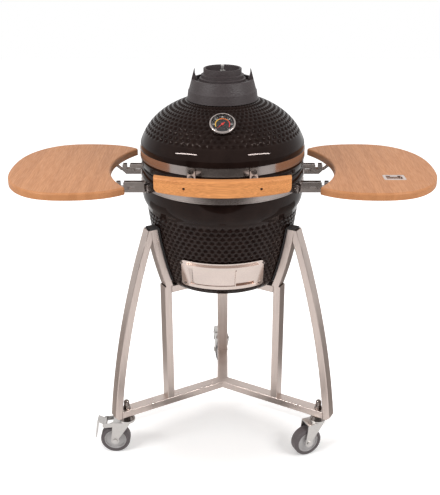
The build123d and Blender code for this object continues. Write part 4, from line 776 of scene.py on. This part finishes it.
# --- ceramic shells
@dataclass
class Dimples:
    """Staggered rows of pressed dimples round a turned shell.

    Attributes:
        count: dimples in one row.
        rows: number of rows.
        columns_each: mesh columns across one dimple.
        rings_each: mesh rings across one row.
        depth: depth of a dimple.
        half_width: half width as a part of the spacing in a row.
        half_height: half height as a part of the spacing of rows.
        ridge_gloss: how much the glaze mirrors between the dimples.
        shaded_pit_gloss: how much it mirrors deep in a dimple, lowered there as a painted shade.
        full_shade_at: part of the depth from which a dimple has its full painted shade.
        squareness: 2 for an ellipse, more for squarer outlines.
    """

    count: int = 70
    rows: int = 16
    columns_each: int = 6
    rings_each: int = 6
    depth: float = 0.0028
    half_width: float = 0.40
    half_height: float = 0.43
    ridge_gloss: float = 0.12
    shaded_pit_gloss: float = 0.03
    full_shade_at: float = 0.625
    squareness: float = 2.6

    def gloss(self, sink: float) -> float:
        """Mirroring of the glaze at a depth, lowered in the dimples as a painted shade.

        Args:
            sink: depth below the smooth shape.

        Returns:
            The specular level.
        """
        shade_share = min(1.0, sink / self.depth / self.full_shade_at)
        return self.ridge_gloss + (self.shaded_pit_gloss - self.ridge_gloss) * shade_share

    def sink(self, column: int, ring: int) -> float:
        """Depth of the surface at a mesh corner inside the dimpled stretch.

        Args:
            column: mesh column round the shell.
            ring: mesh ring from the start of the stretch.

        Returns:
            How far the surface lies inside its smooth shape, in metres.
        """
        row = min(ring // self.rings_each, self.rows - 1)
        along = ring / self.rings_each - row - 0.5
        shift = 0.5 * (row % 2)
        across = (column / self.columns_each + shift) % 1.0 - 0.5
        power = self.squareness
        reach = (abs(across) / self.half_width) ** power + (abs(along) / self.half_height) ** power
        reach **= 1 / power
        if reach >= 1.0:
            return 0.0
        return self.depth * (1.0 - reach * reach)


@dataclass
class TurnedShell:
    """A ceramic shell turned about the grill's axis, with dimples on part of its outside.

    Attributes:
        name: the object's name.
        smooth_start: outside profile before the dimples, from low to high.
        dimpled: outside profile under the dimples, evenly stepped.
        rest: the profile after the dimples: the rest of the outside and the inside.
        inside_from: number of the first ring of `rest` that is bare clay.
        dimples: the dimple pattern.
        plain_gloss: how much the glaze mirrors where it is smooth.
        crisp: angle from which an edge is crisp, in degrees.
    """

    name: str
    smooth_start: list[ProfilePoint]
    dimpled: list[ProfilePoint]
    rest: list[ProfilePoint]
    inside_from: int
    dimples: Dimples
    plain_gloss: float = 0.10
    crisp: float = 60.0

    def build(self, open_window: Optional[Window] = None) -> Piece:
        """Turn the shell.

        Args:
            open_window: azimuth from, azimuth to (degrees), z from and z to of a window, or None.

        Returns:
            The mesh object.
        """
        columns = self.dimples.count * self.dimples.columns_each
        start_ring = len(self.smooth_start)
        profile = [*self.smooth_start, *self.dimpled, *self.rest]
        points: list[Point] = []
        shine: list[float] = []
        for ring, (r, z) in enumerate(profile):
            inner = profile[max(ring - 1, 0)]
            outer = profile[min(ring + 1, len(profile) - 1)]
            run, rise = outer[0] - inner[0], outer[1] - inner[1]
            length = max(math.hypot(run, rise), TINY)
            normal = (rise / length, -run / length)
            for column in range(columns):
                sink, gloss_here = 0.0, self.plain_gloss
                if start_ring <= ring < start_ring + len(self.dimpled):
                    sink = self.dimples.sink(column, ring - start_ring)
                    gloss_here = self.dimples.gloss(sink)
                turn = 2.0 * math.pi * column / columns + FRONT_TURN
                shine.append(gloss_here)
                reach = r - sink * normal[0]
                points.append((reach * math.cos(turn), reach * math.sin(turn), z - sink * normal[1]))
        faces = []
        for ring in range(len(profile) - 1):
            low, high = ring * columns, (ring + 1) * columns
            for column in range(columns):
                after = (column + 1) % columns
                faces.append((low + column, low + after, high + after, high + column))
        piece = mesh_piece(self.name, points, faces)
        gloss = piece.data.attributes.new(GLOSS, "FLOAT", "POINT")
        gloss.data.foreach_set("value", shine)
        first_clay = (start_ring + len(self.dimpled) + self.inside_from) * columns
        for number, face in enumerate(piece.data.polygons):
            face.material_index = int(number >= first_clay)
        if open_window:
            self._open(piece, open_window)
        piece.data.set_sharp_from_angle(angle=math.radians(self.crisp))
        return piece

    @staticmethod
    def _open(piece: Piece, window: Window) -> None:
        """Cut a window through the shell's wall and close its sides.

        Args:
            piece: the shell.
            window: azimuth from, azimuth to (degrees), z from and z to.
        """
        work = bmesh.new()
        work.from_mesh(piece.data)
        gone = []
        for face in work.faces:
            middle = face.calc_center_median()
            azimuth = math.degrees(math.atan2(middle.y, middle.x))
            if window[0] < azimuth < window[1] and window[2] < middle.z < window[3]:
                gone.append(face)
        bmesh.ops.delete(work, geom=gone, context="FACES")
        rims = [edge for edge in work.edges if edge.is_boundary]
        bmesh.ops.bridge_loops(work, edges=rims)
        work.to_mesh(piece.data)
        work.free()


@dataclass
class CeramicBody:
    """The glazed base and lid.

    The radii and heights are those of the two CAD shells. The shoulder of the base steps out from the
    top of its wall and then in from its rim, each step as (r, z).
    """

    axis_r: float = 0.0005
    edge_r: float = 0.0015
    fine_steps: int = 200
    inside_steps: int = 40
    rim_r: float = 0.207
    base_top_z: float = 0.7778
    base_rim_low_z: float = 0.703
    base_rim_middle_z: float = 0.74
    base_bottom_z: float = 0.474
    foot_r: float = 0.144
    foot_chamfer: ProfilePoint = (0.004, 0.0045)
    wall_low: ProfilePoint = (0.1565, 0.488)
    wall_top: ProfilePoint = (0.1955, 0.672)
    wall_bulge: float = 0.005
    out_of_wall: tuple[ProfilePoint, ...] = ((0.0015, 0.006), (0.0038, 0.011))
    into_rim: tuple[ProfilePoint, ...] = ((0.0045, -0.014), (0.0020, -0.007), (0.0006, 0.0), (0.0, 0.008))
    floor_z: float = 0.500
    bowl_foot_r: float = 0.1265
    rim_wall: float = 0.023
    lid_low_z: float = 0.7842
    lid_rim_z: float = 0.80
    shoulder_z: float = 0.838
    shoulder_steps: int = 12
    shoulder_power: float = 1.31
    dome_a: float = 0.2085
    dome_b: float = 0.141
    dome_z: float = 0.816
    dome_inset: float = 0.022
    dimples_z: float = 0.866
    neck_r: float = 0.064
    neck_bore_r: float = 0.046
    neck_top_z: float = 0.980
    cap_r: float = 0.080
    crown_gap: float = 1.0
    crown_steps: int = 4
    ash_window: Window = (-108.5, -87.5, 0.508, 0.548)

    def build_base(self, shop: Workshop) -> None:
        """Turn the base and dress it.

        Args:
            shop: the finishes.
        """
        dimples = Dimples(rows=16, ridge_gloss=0.24)
        foot = [(self.axis_r, self.base_bottom_z), (self.foot_r, self.base_bottom_z)]
        foot += [(self.wall_low[0] - self.foot_chamfer[0], self.base_bottom_z + self.foot_chamfer[1])]
        bow = bowed(self.wall_low, self.wall_top, self.wall_bulge, self.fine_steps)
        wall = resample(bow, dimples.rows * dimples.rings_each)
        shoulder = [(self.wall_top[0] + r, self.wall_top[1] + z) for r, z in self.out_of_wall]
        shoulder += [(self.rim_r - r, self.base_rim_low_z + z) for r, z in self.into_rim]
        shoulder += [
            (self.rim_r, self.base_rim_middle_z),
            (self.rim_r, self.base_top_z - self.edge_r),
            (self.rim_r - self.edge_r, self.base_top_z),
        ]
        inner_r = self.rim_r - self.rim_wall
        bowl = ((inner_r, self.base_rim_low_z), (self.bowl_foot_r, self.floor_z))
        inside = [(inner_r, self.base_top_z)]
        inside += bowed(*bowl, -self.wall_bulge, self.inside_steps)
        inside += [(self.axis_r, self.floor_z)]
        rest = shoulder + inside
        shell = TurnedShell("glazed_base", foot, wall, rest, len(shoulder), dimples, plain_gloss=0.13)
        piece = shell.build(self.ash_window)
        shop.dress(piece, "black_glaze", "bare_clay")
        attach(piece, "grill")
        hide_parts("base_shell")
        log.info("glazed base: %d faces", len(piece.data.polygons))

    def build_lid(self, shop: Workshop) -> None:
        """Turn the lid and dress it.

        Args:
            shop: the finishes.
        """
        # The lid's glaze keeps the lower default gloss, below the base's: its reflections of the bright
        # surround are turned down as a painted shade on the dome.
        dimples = Dimples(rows=12)
        start_r = self._dome_r(self.dimples_z)
        start_turn = math.degrees(
            math.atan2((self.dimples_z - self.dome_z) / self.dome_b, start_r / self.dome_a)
        )
        end_turn = math.degrees(math.acos(self.cap_r / self.dome_a))
        neck_turn = math.degrees(math.acos(self.neck_r / self.dome_a))
        inner_r = self.rim_r - self.rim_wall
        rim = [
            (inner_r, self.lid_low_z),
            (self.rim_r - self.edge_r, self.lid_low_z),
            (self.rim_r, self.lid_low_z + self.edge_r),
            (self.rim_r, self.lid_rim_z),
        ]
        rise = self.dimples_z - self.shoulder_z
        for step in range(self.shoulder_steps):
            part = step / self.shoulder_steps
            drawn_in = (self.rim_r - start_r) * part**self.shoulder_power
            rim.append((self.rim_r - drawn_in, self.shoulder_z + rise * part))
        centre, radii = (0.0, self.dome_z), (self.dome_a, self.dome_b)
        arc = arc_points(centre, radii, start_turn, end_turn, self.fine_steps)
        dome = resample(arc, dimples.rows * dimples.rings_each)
        crown = arc_points(centre, radii, end_turn + self.crown_gap, neck_turn, self.crown_steps)
        crown += [(self.neck_r, self.neck_top_z), (self.neck_bore_r, self.neck_top_z)]
        inner_radii = (self.dome_a - self.dome_inset, self.dome_b - self.dome_inset)
        bore_turn = math.degrees(math.acos(self.neck_bore_r / inner_radii[0]))
        inside = arc_points(centre, inner_radii, bore_turn, 0.0, self.inside_steps)
        inside += [(inner_r, self.lid_low_z)]
        shell = TurnedShell("glazed_lid", rim, dome, crown + inside, len(crown), dimples)
        piece = shell.build()
        shop.dress(piece, "black_glaze", "bare_clay")
        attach(piece, "lid")
        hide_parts("lid_shell", "chimney_collar")
        log.info("glazed lid: %d faces", len(piece.data.polygons))

    def _dome_r(self, z: float) -> float:
        """Radius of the dome's outside at a height.

        Args:
            z: the height.

        Returns:
            The radius.
        """
        return self.dome_a * math.sqrt(1.0 - ((z - self.dome_z) / self.dome_b) ** 2)


# --- thermometer
@dataclass
class Thermometer:
    """Printed dial of the lid's thermometer.

    The seat is where the dial's normal leaves the dome. Angles are degrees, from the dial's right.
    """

    seat_r: float = 0.150
    seat_z: float = 0.91393
    tilt: float = 55.0
    dial_lift: float = 0.0034
    print_t: float = 0.00008
    crisp: float = 30.0
    arc_r: float = 0.0180
    arc_w: float = 0.0022
    tick_r: float = 0.0245
    tick_l: float = 0.0030
    ticks: int = 19
    ticks_each: int = 3
    first_turn: float = 225.0
    tick_turn: float = 15.0
    long_half: float = 1.1
    short_half: float = 0.6
    short_part: float = 0.55
    numeral_r: float = 0.0212
    numeral_size: float = 0.0042
    numeral_half_t: float = 0.00004
    numeral_lift: float = 0.00006
    numeral_step: int = 50
    bands: tuple[tuple[str, str, float, float], ...] = (
        ("dial_arc_warm", "print_yellow", 205.0, 120.0),
        ("dial_arc_hot", "print_orange", 118.0, 40.0),
        ("dial_arc_sear", "needle_red", 38.0, -30.0),
    )

    def _matrix(self) -> Matrix:
        """Place of the dial's own frame: x to the right, y up the dome.

        Returns:
            The placing matrix.
        """
        tilt = math.radians(self.tilt)
        out = Vector((0.0, -math.cos(tilt), math.sin(tilt)))
        right = Vector((1.0, 0.0, 0.0))
        up = out.cross(right)
        place = Vector((0.0, -self.seat_r, self.seat_z)) + out * self.dial_lift
        columns = Matrix((right, up, out)).transposed().to_4x4()
        return Matrix.Translation(place) @ columns

    def _sector(self, name: str, inner: float, outer: float, start: float, end: float) -> Piece:
        """Thin printed arc on the dial.

        Args:
            name: the object's name.
            inner: inner radius.
            outer: outer radius.
            start: first angle, in degrees.
            end: last angle, in degrees.

        Returns:
            The mesh object.
        """
        steps = max(2, int(abs(end - start) / DEGREES_A_STEP))
        points: list[Point] = []
        faces = []
        for step in range(steps + 1):
            turn = math.radians(start + (end - start) * step / steps)
            for r in (inner, outer):
                for z in (0.0, self.print_t):
                    points.append((r * math.cos(turn), r * math.sin(turn), z))
        for step in range(steps):
            a, b = 4 * step, 4 * step + 4
            faces += [(a + 1, a + 3, b + 3, b + 1), (a, b, b + 2, a + 2)]
            faces += [(a, a + 1, b + 1, b), (a + 2, b + 2, b + 3, a + 3)]
        last = 4 * steps
        faces += [(0, 2, 3, 1), (last, last + 1, last + 3, last + 2)]
        piece = mesh_piece(name, points, faces)
        piece.data.set_sharp_from_angle(angle=math.radians(self.crisp))
        return piece

    def _numeral(self, number: int) -> Piece:
        """One figure of the scale.

        Args:
            number: which long tick it belongs to.

        Returns:
            The mesh object.
        """
        turn = math.radians(self.first_turn - self.tick_turn * self.ticks_each * number)
        curve = bpy.data.curves.new(f"dial_number_{number}", "FONT")
        curve.body = str(self.numeral_step * (number + 1))
        curve.size = self.numeral_size
        curve.align_x = "CENTER"
        curve.align_y = "CENTER"
        curve.extrude = self.numeral_half_t
        text = add_object(f"dial_number_{number}", curve)
        across, up = self.numeral_r * math.cos(turn), self.numeral_r * math.sin(turn)
        text.location = (across, up, self.numeral_lift)
        bpy.context.view_layer.update()
        mesh = bpy.data.meshes.new_from_object(text.evaluated_get(bpy.context.evaluated_depsgraph_get()))
        mesh.transform(text.matrix_world)
        bpy.data.objects.remove(text)
        return add_object(f"dial_numeral_{number}", mesh)

    def build(self, shop: Workshop) -> None:
        """Print the dial.

        Args:
            shop: the finishes.
        """
        printed: list[tuple[Piece, str]] = []
        for name, finish, start, end in self.bands:
            printed.append((self._sector(name, self.arc_r - self.arc_w, self.arc_r, start, end), finish))
        for number in range(self.ticks):
            turn = self.first_turn - self.tick_turn * number
            major = number % self.ticks_each == 0
            half = self.long_half if major else self.short_half
            inner = self.tick_r - (self.tick_l if major else self.tick_l * self.short_part)
            tick = self._sector(f"dial_tick_{number:02d}", inner, self.tick_r, turn + half, turn - half)
            printed.append((tick, "print_white"))
        for number in range(self.ticks // self.ticks_each + 1):
            printed.append((self._numeral(number), "print_white"))
        place = self._matrix()
        for piece, finish in printed:
            piece.data.transform(place)
            shop.dress(piece, finish)
            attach(piece, "lid")
        log.info("thermometer: %d printed marks", len(printed))


# --- studio
@dataclass(frozen=True)
class Softbox:
    """One area lamp.

    Attributes:
        place: where it hangs.
        target: what it points at.
        size: width and height.
        power: watts.
        mirrored: whether glossy surfaces show it.
        roll: turn about its own axis, in degrees.
    """

    place: Point
    target: Point
    size: tuple[float, float]
    power: float
    mirrored: bool = True
    roll: float = 0.0

    def hang(self, name: str) -> None:
        """Add the lamp to the scene.

        Args:
            name: the lamp's name.
        """
        data = bpy.data.lights.new(name, "AREA")
        data.shape = "RECTANGLE"
        data.size, data.size_y = self.size
        data.energy = self.power
        lamp = add_object(name, data)
        lamp.location = self.place
        aim = (Vector(self.target) - Vector(self.place)).to_track_quat("-Z", "Y").to_matrix()
        lamp.rotation_euler = (aim @ Matrix.Rotation(math.radians(self.roll), 3, "Z")).to_euler()
        lamp.visible_glossy = self.mirrored


@dataclass(frozen=True)
class MirroredShade:
    """A cloth that only mirrors show: a painted shade in the reflections of the metal and the glaze.

    Attributes:
        name: the object's name.
        sides: x of its left and right edges.
        near: y and z of its near edge.
        far: y and z of its far edge.
        tone: how pale it is.
        tints: its colours relative to the tone, in its dark and its pale threads.
        weave_scale: how fine the weave is.
        rough: its roughness.
    """

    name: str
    sides: tuple[float, float]
    near: tuple[float, float]
    far: tuple[float, float]
    tone: float
    tints: tuple[Point, Point] = ((0.9, 0.84, 0.8), (1.15, 1.06, 1.0))
    weave_scale: float = 300.0
    rough: float = 0.95

    def lay(self) -> None:
        """Add the cloth to the scene."""
        left, right = self.sides
        corners = [(left, *self.near), (right, *self.near), (right, *self.far), (left, *self.far)]
        sheet = mesh_piece(self.name, corners, [(0, 1, 2, 3)])
        material, graph, shader = new_material(f"{self.name}_weave")
        weave = graph.noise(graph.stretched(EVEN), self.weave_scale, detail=2.0)
        dark, pale = (solid(tuple(self.tone * part for part in tint)) for tint in self.tints)
        graph.wire(shader, {"Base Color": graph.blend(weave, dark, pale), "Roughness": self.rough})
        sheet.data.materials.append(material)
        sheet.visible_camera = False
        sheet.visible_diffuse = False
        sheet.visible_transmission = False
        sheet.visible_shadow = False


@dataclass
class Studio:
    """Floor, lights and camera.

    The shade under the grill is moved by shade_shift and drawn out by shade_stretch. floor_glow holds the
    two distances between which the floor brightens, and its glow at each. floor_mirror is its glow in
    mirrors, and fill the strength of the surround. The lens and the sensor are in millimetres.
    """

    floor_half: float = 6.0
    shade_shift: Point = (0.0, 0.12, 0.0)
    shade_stretch: Point = (0.55, 1.0, 1.0)
    floor_glow: tuple[float, float, float, float] = (0.05, 0.36, 0.07, 0.7)
    floor_mirror: float = 0.12
    floor_tones: tuple[Colour, Colour] = ((0.93, 0.93, 0.93, 1.0), (0.95, 0.95, 0.95, 1.0))
    floor_cloud_scale: float = 3.0
    floor_rough: float = 0.9
    camera_y: float = -1.998
    camera_z: float = 1.382
    camera_tilt: float = 67.18
    lens: float = 58.79
    sensor_width: float = 36.0
    shift_x: float = -0.0051
    fill: float = 0.45
    fill_tint: Point = (1.0, 0.985, 0.97)
    lamps: tuple[Softbox, ...] = (
        Softbox((-1.78, -1.32, 1.96), (0.0, 0.0, 0.75), (1.3, 0.055), 34.0, roll=16.0),
        Softbox((1.78, -1.32, 1.96), (0.0, 0.0, 0.75), (1.3, 0.055), 30.0, roll=-16.0),
        Softbox((0.0, 0.2, 3.2), (0.0, 0.0, 0.6), (3.0, 3.0), 25.0, mirrored=False),
    )
    # Sheets seen only in mirrors: painted shade for the dark surroundings in front and for the shaded floor
    # round the grill.
    mirrored_shades: tuple[MirroredShade, ...] = (
        MirroredShade("mirrored_shade_front", (-2.0, 2.0), (-1.75, 0.02), (-1.85, 0.95), 0.10),
        MirroredShade("mirrored_shade_left", (-1.70, -0.45), (-0.15, 0.004), (0.95, 0.004), 0.42),
        MirroredShade("mirrored_shade_right", (0.45, 1.70), (-0.15, 0.004), (0.95, 0.004), 0.30),
        MirroredShade("mirrored_shade_middle", (-0.05, 0.05), (-0.42, 0.004), (0.02, 0.004), 0.12),
    )

    def build(self) -> None:
        """Make the floor, the world, the lamps and the camera."""
        self._floor()
        self._world()
        for sheet in self.mirrored_shades:
            sheet.lay()
        for number, softbox in enumerate(self.lamps):
            softbox.hang(f"softbox_{number}")
        self._camera()
        bpy.context.scene.view_settings.view_transform = "Standard"

    def _floor(self) -> None:
        """Lay a pale floor that shows white and keeps the grill's shadow; its glow to the camera is weaker
        near the grill, which adds a painted shade under the grill.
        """
        half = self.floor_half
        corners = [(-half, -half, 0.0), (half, -half, 0.0), (half, half, 0.0), (-half, half, 0.0)]
        floor = mesh_piece("studio_floor", corners, [(0, 1, 2, 3)])
        material, graph, shader = new_material("studio_white")
        cloud = graph.noise(graph.stretched(EVEN), self.floor_cloud_scale, detail=2.0)
        tone = graph.blend(cloud, *self.floor_tones)
        graph.wire(shader, {"Base Color": tone, "Roughness": self.floor_rough, SPECULAR: 0.0})
        rays = graph.add("ShaderNodeLightPath")
        shift = graph.add("ShaderNodeVectorMath", operation="ADD")
        graph.wire(shift, {0: graph.stretched(self.shade_stretch), 1: self.shade_shift})
        away = graph.add("ShaderNodeVectorMath", operation="LENGTH")
        graph.wire(away, {0: shift.outputs["Vector"]})
        glow = graph.add("ShaderNodeMapRange", interpolation_type="SMOOTHSTEP")
        graph.wire(glow, {"Value": away.outputs["Value"]})
        graph.wire(glow, dict(zip(("From Min", "From Max", "To Min", "To Max"), self.floor_glow)))
        seen = graph.math("MULTIPLY", rays.outputs["Is Camera Ray"], glow.outputs["Result"])
        mirrored = graph.math("MULTIPLY", rays.outputs["Is Glossy Ray"], self.floor_mirror)
        strength = graph.math("MAXIMUM", seen, mirrored)
        graph.wire(shader, {"Emission Strength": strength, "Emission Color": WHITE})
        floor.data.materials.append(material)

    def _world(self) -> None:
        """Set a soft even surround, seen as plain white."""
        world = bpy.data.worlds.new("studio_surround")
        world.use_nodes = True
        bpy.context.scene.world = world
        graph = Graph(world.node_tree)
        background = world.node_tree.nodes["Background"]
        rays = graph.add("ShaderNodeLightPath")
        seen = graph.math("MAXIMUM", rays.outputs["Is Camera Ray"], rays.outputs["Is Transmission Ray"])
        seen = graph.math("MAXIMUM", seen, rays.outputs["Is Glossy Ray"])
        fill = solid(tuple(self.fill * part for part in self.fill_tint))
        graph.wire(background, {"Color": graph.blend(seen, fill, WHITE), "Strength": 1.0})

    def _camera(self) -> None:
        """Set the camera."""
        data = bpy.data.cameras.new("studio_camera")
        data.lens = self.lens
        data.sensor_width = self.sensor_width
        data.shift_x = self.shift_x
        camera = add_object("studio_camera", data)
        camera.location = (0.0, self.camera_y, self.camera_z)
        camera.rotation_euler = (math.radians(self.camera_tilt), 0.0, 0.0)
        bpy.context.scene.camera = camera


def main() -> None:
    """Build the dressed grill round its CAD frame."""
    logging.basicConfig(level=logging.INFO, format="%(message)s")
    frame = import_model()
    shop = Workshop()
    shop.dress_frame(frame["nodes"])
    # The steel band behind the handle doesn't mirror it.
    frame["nodes"]["handle_bar"].visible_glossy = False
    body = CeramicBody()
    body.build_base(shop)
    body.build_lid(shop)
    Thermometer().build(shop)
    Studio().build()


if __name__ == "__main__":
    main()
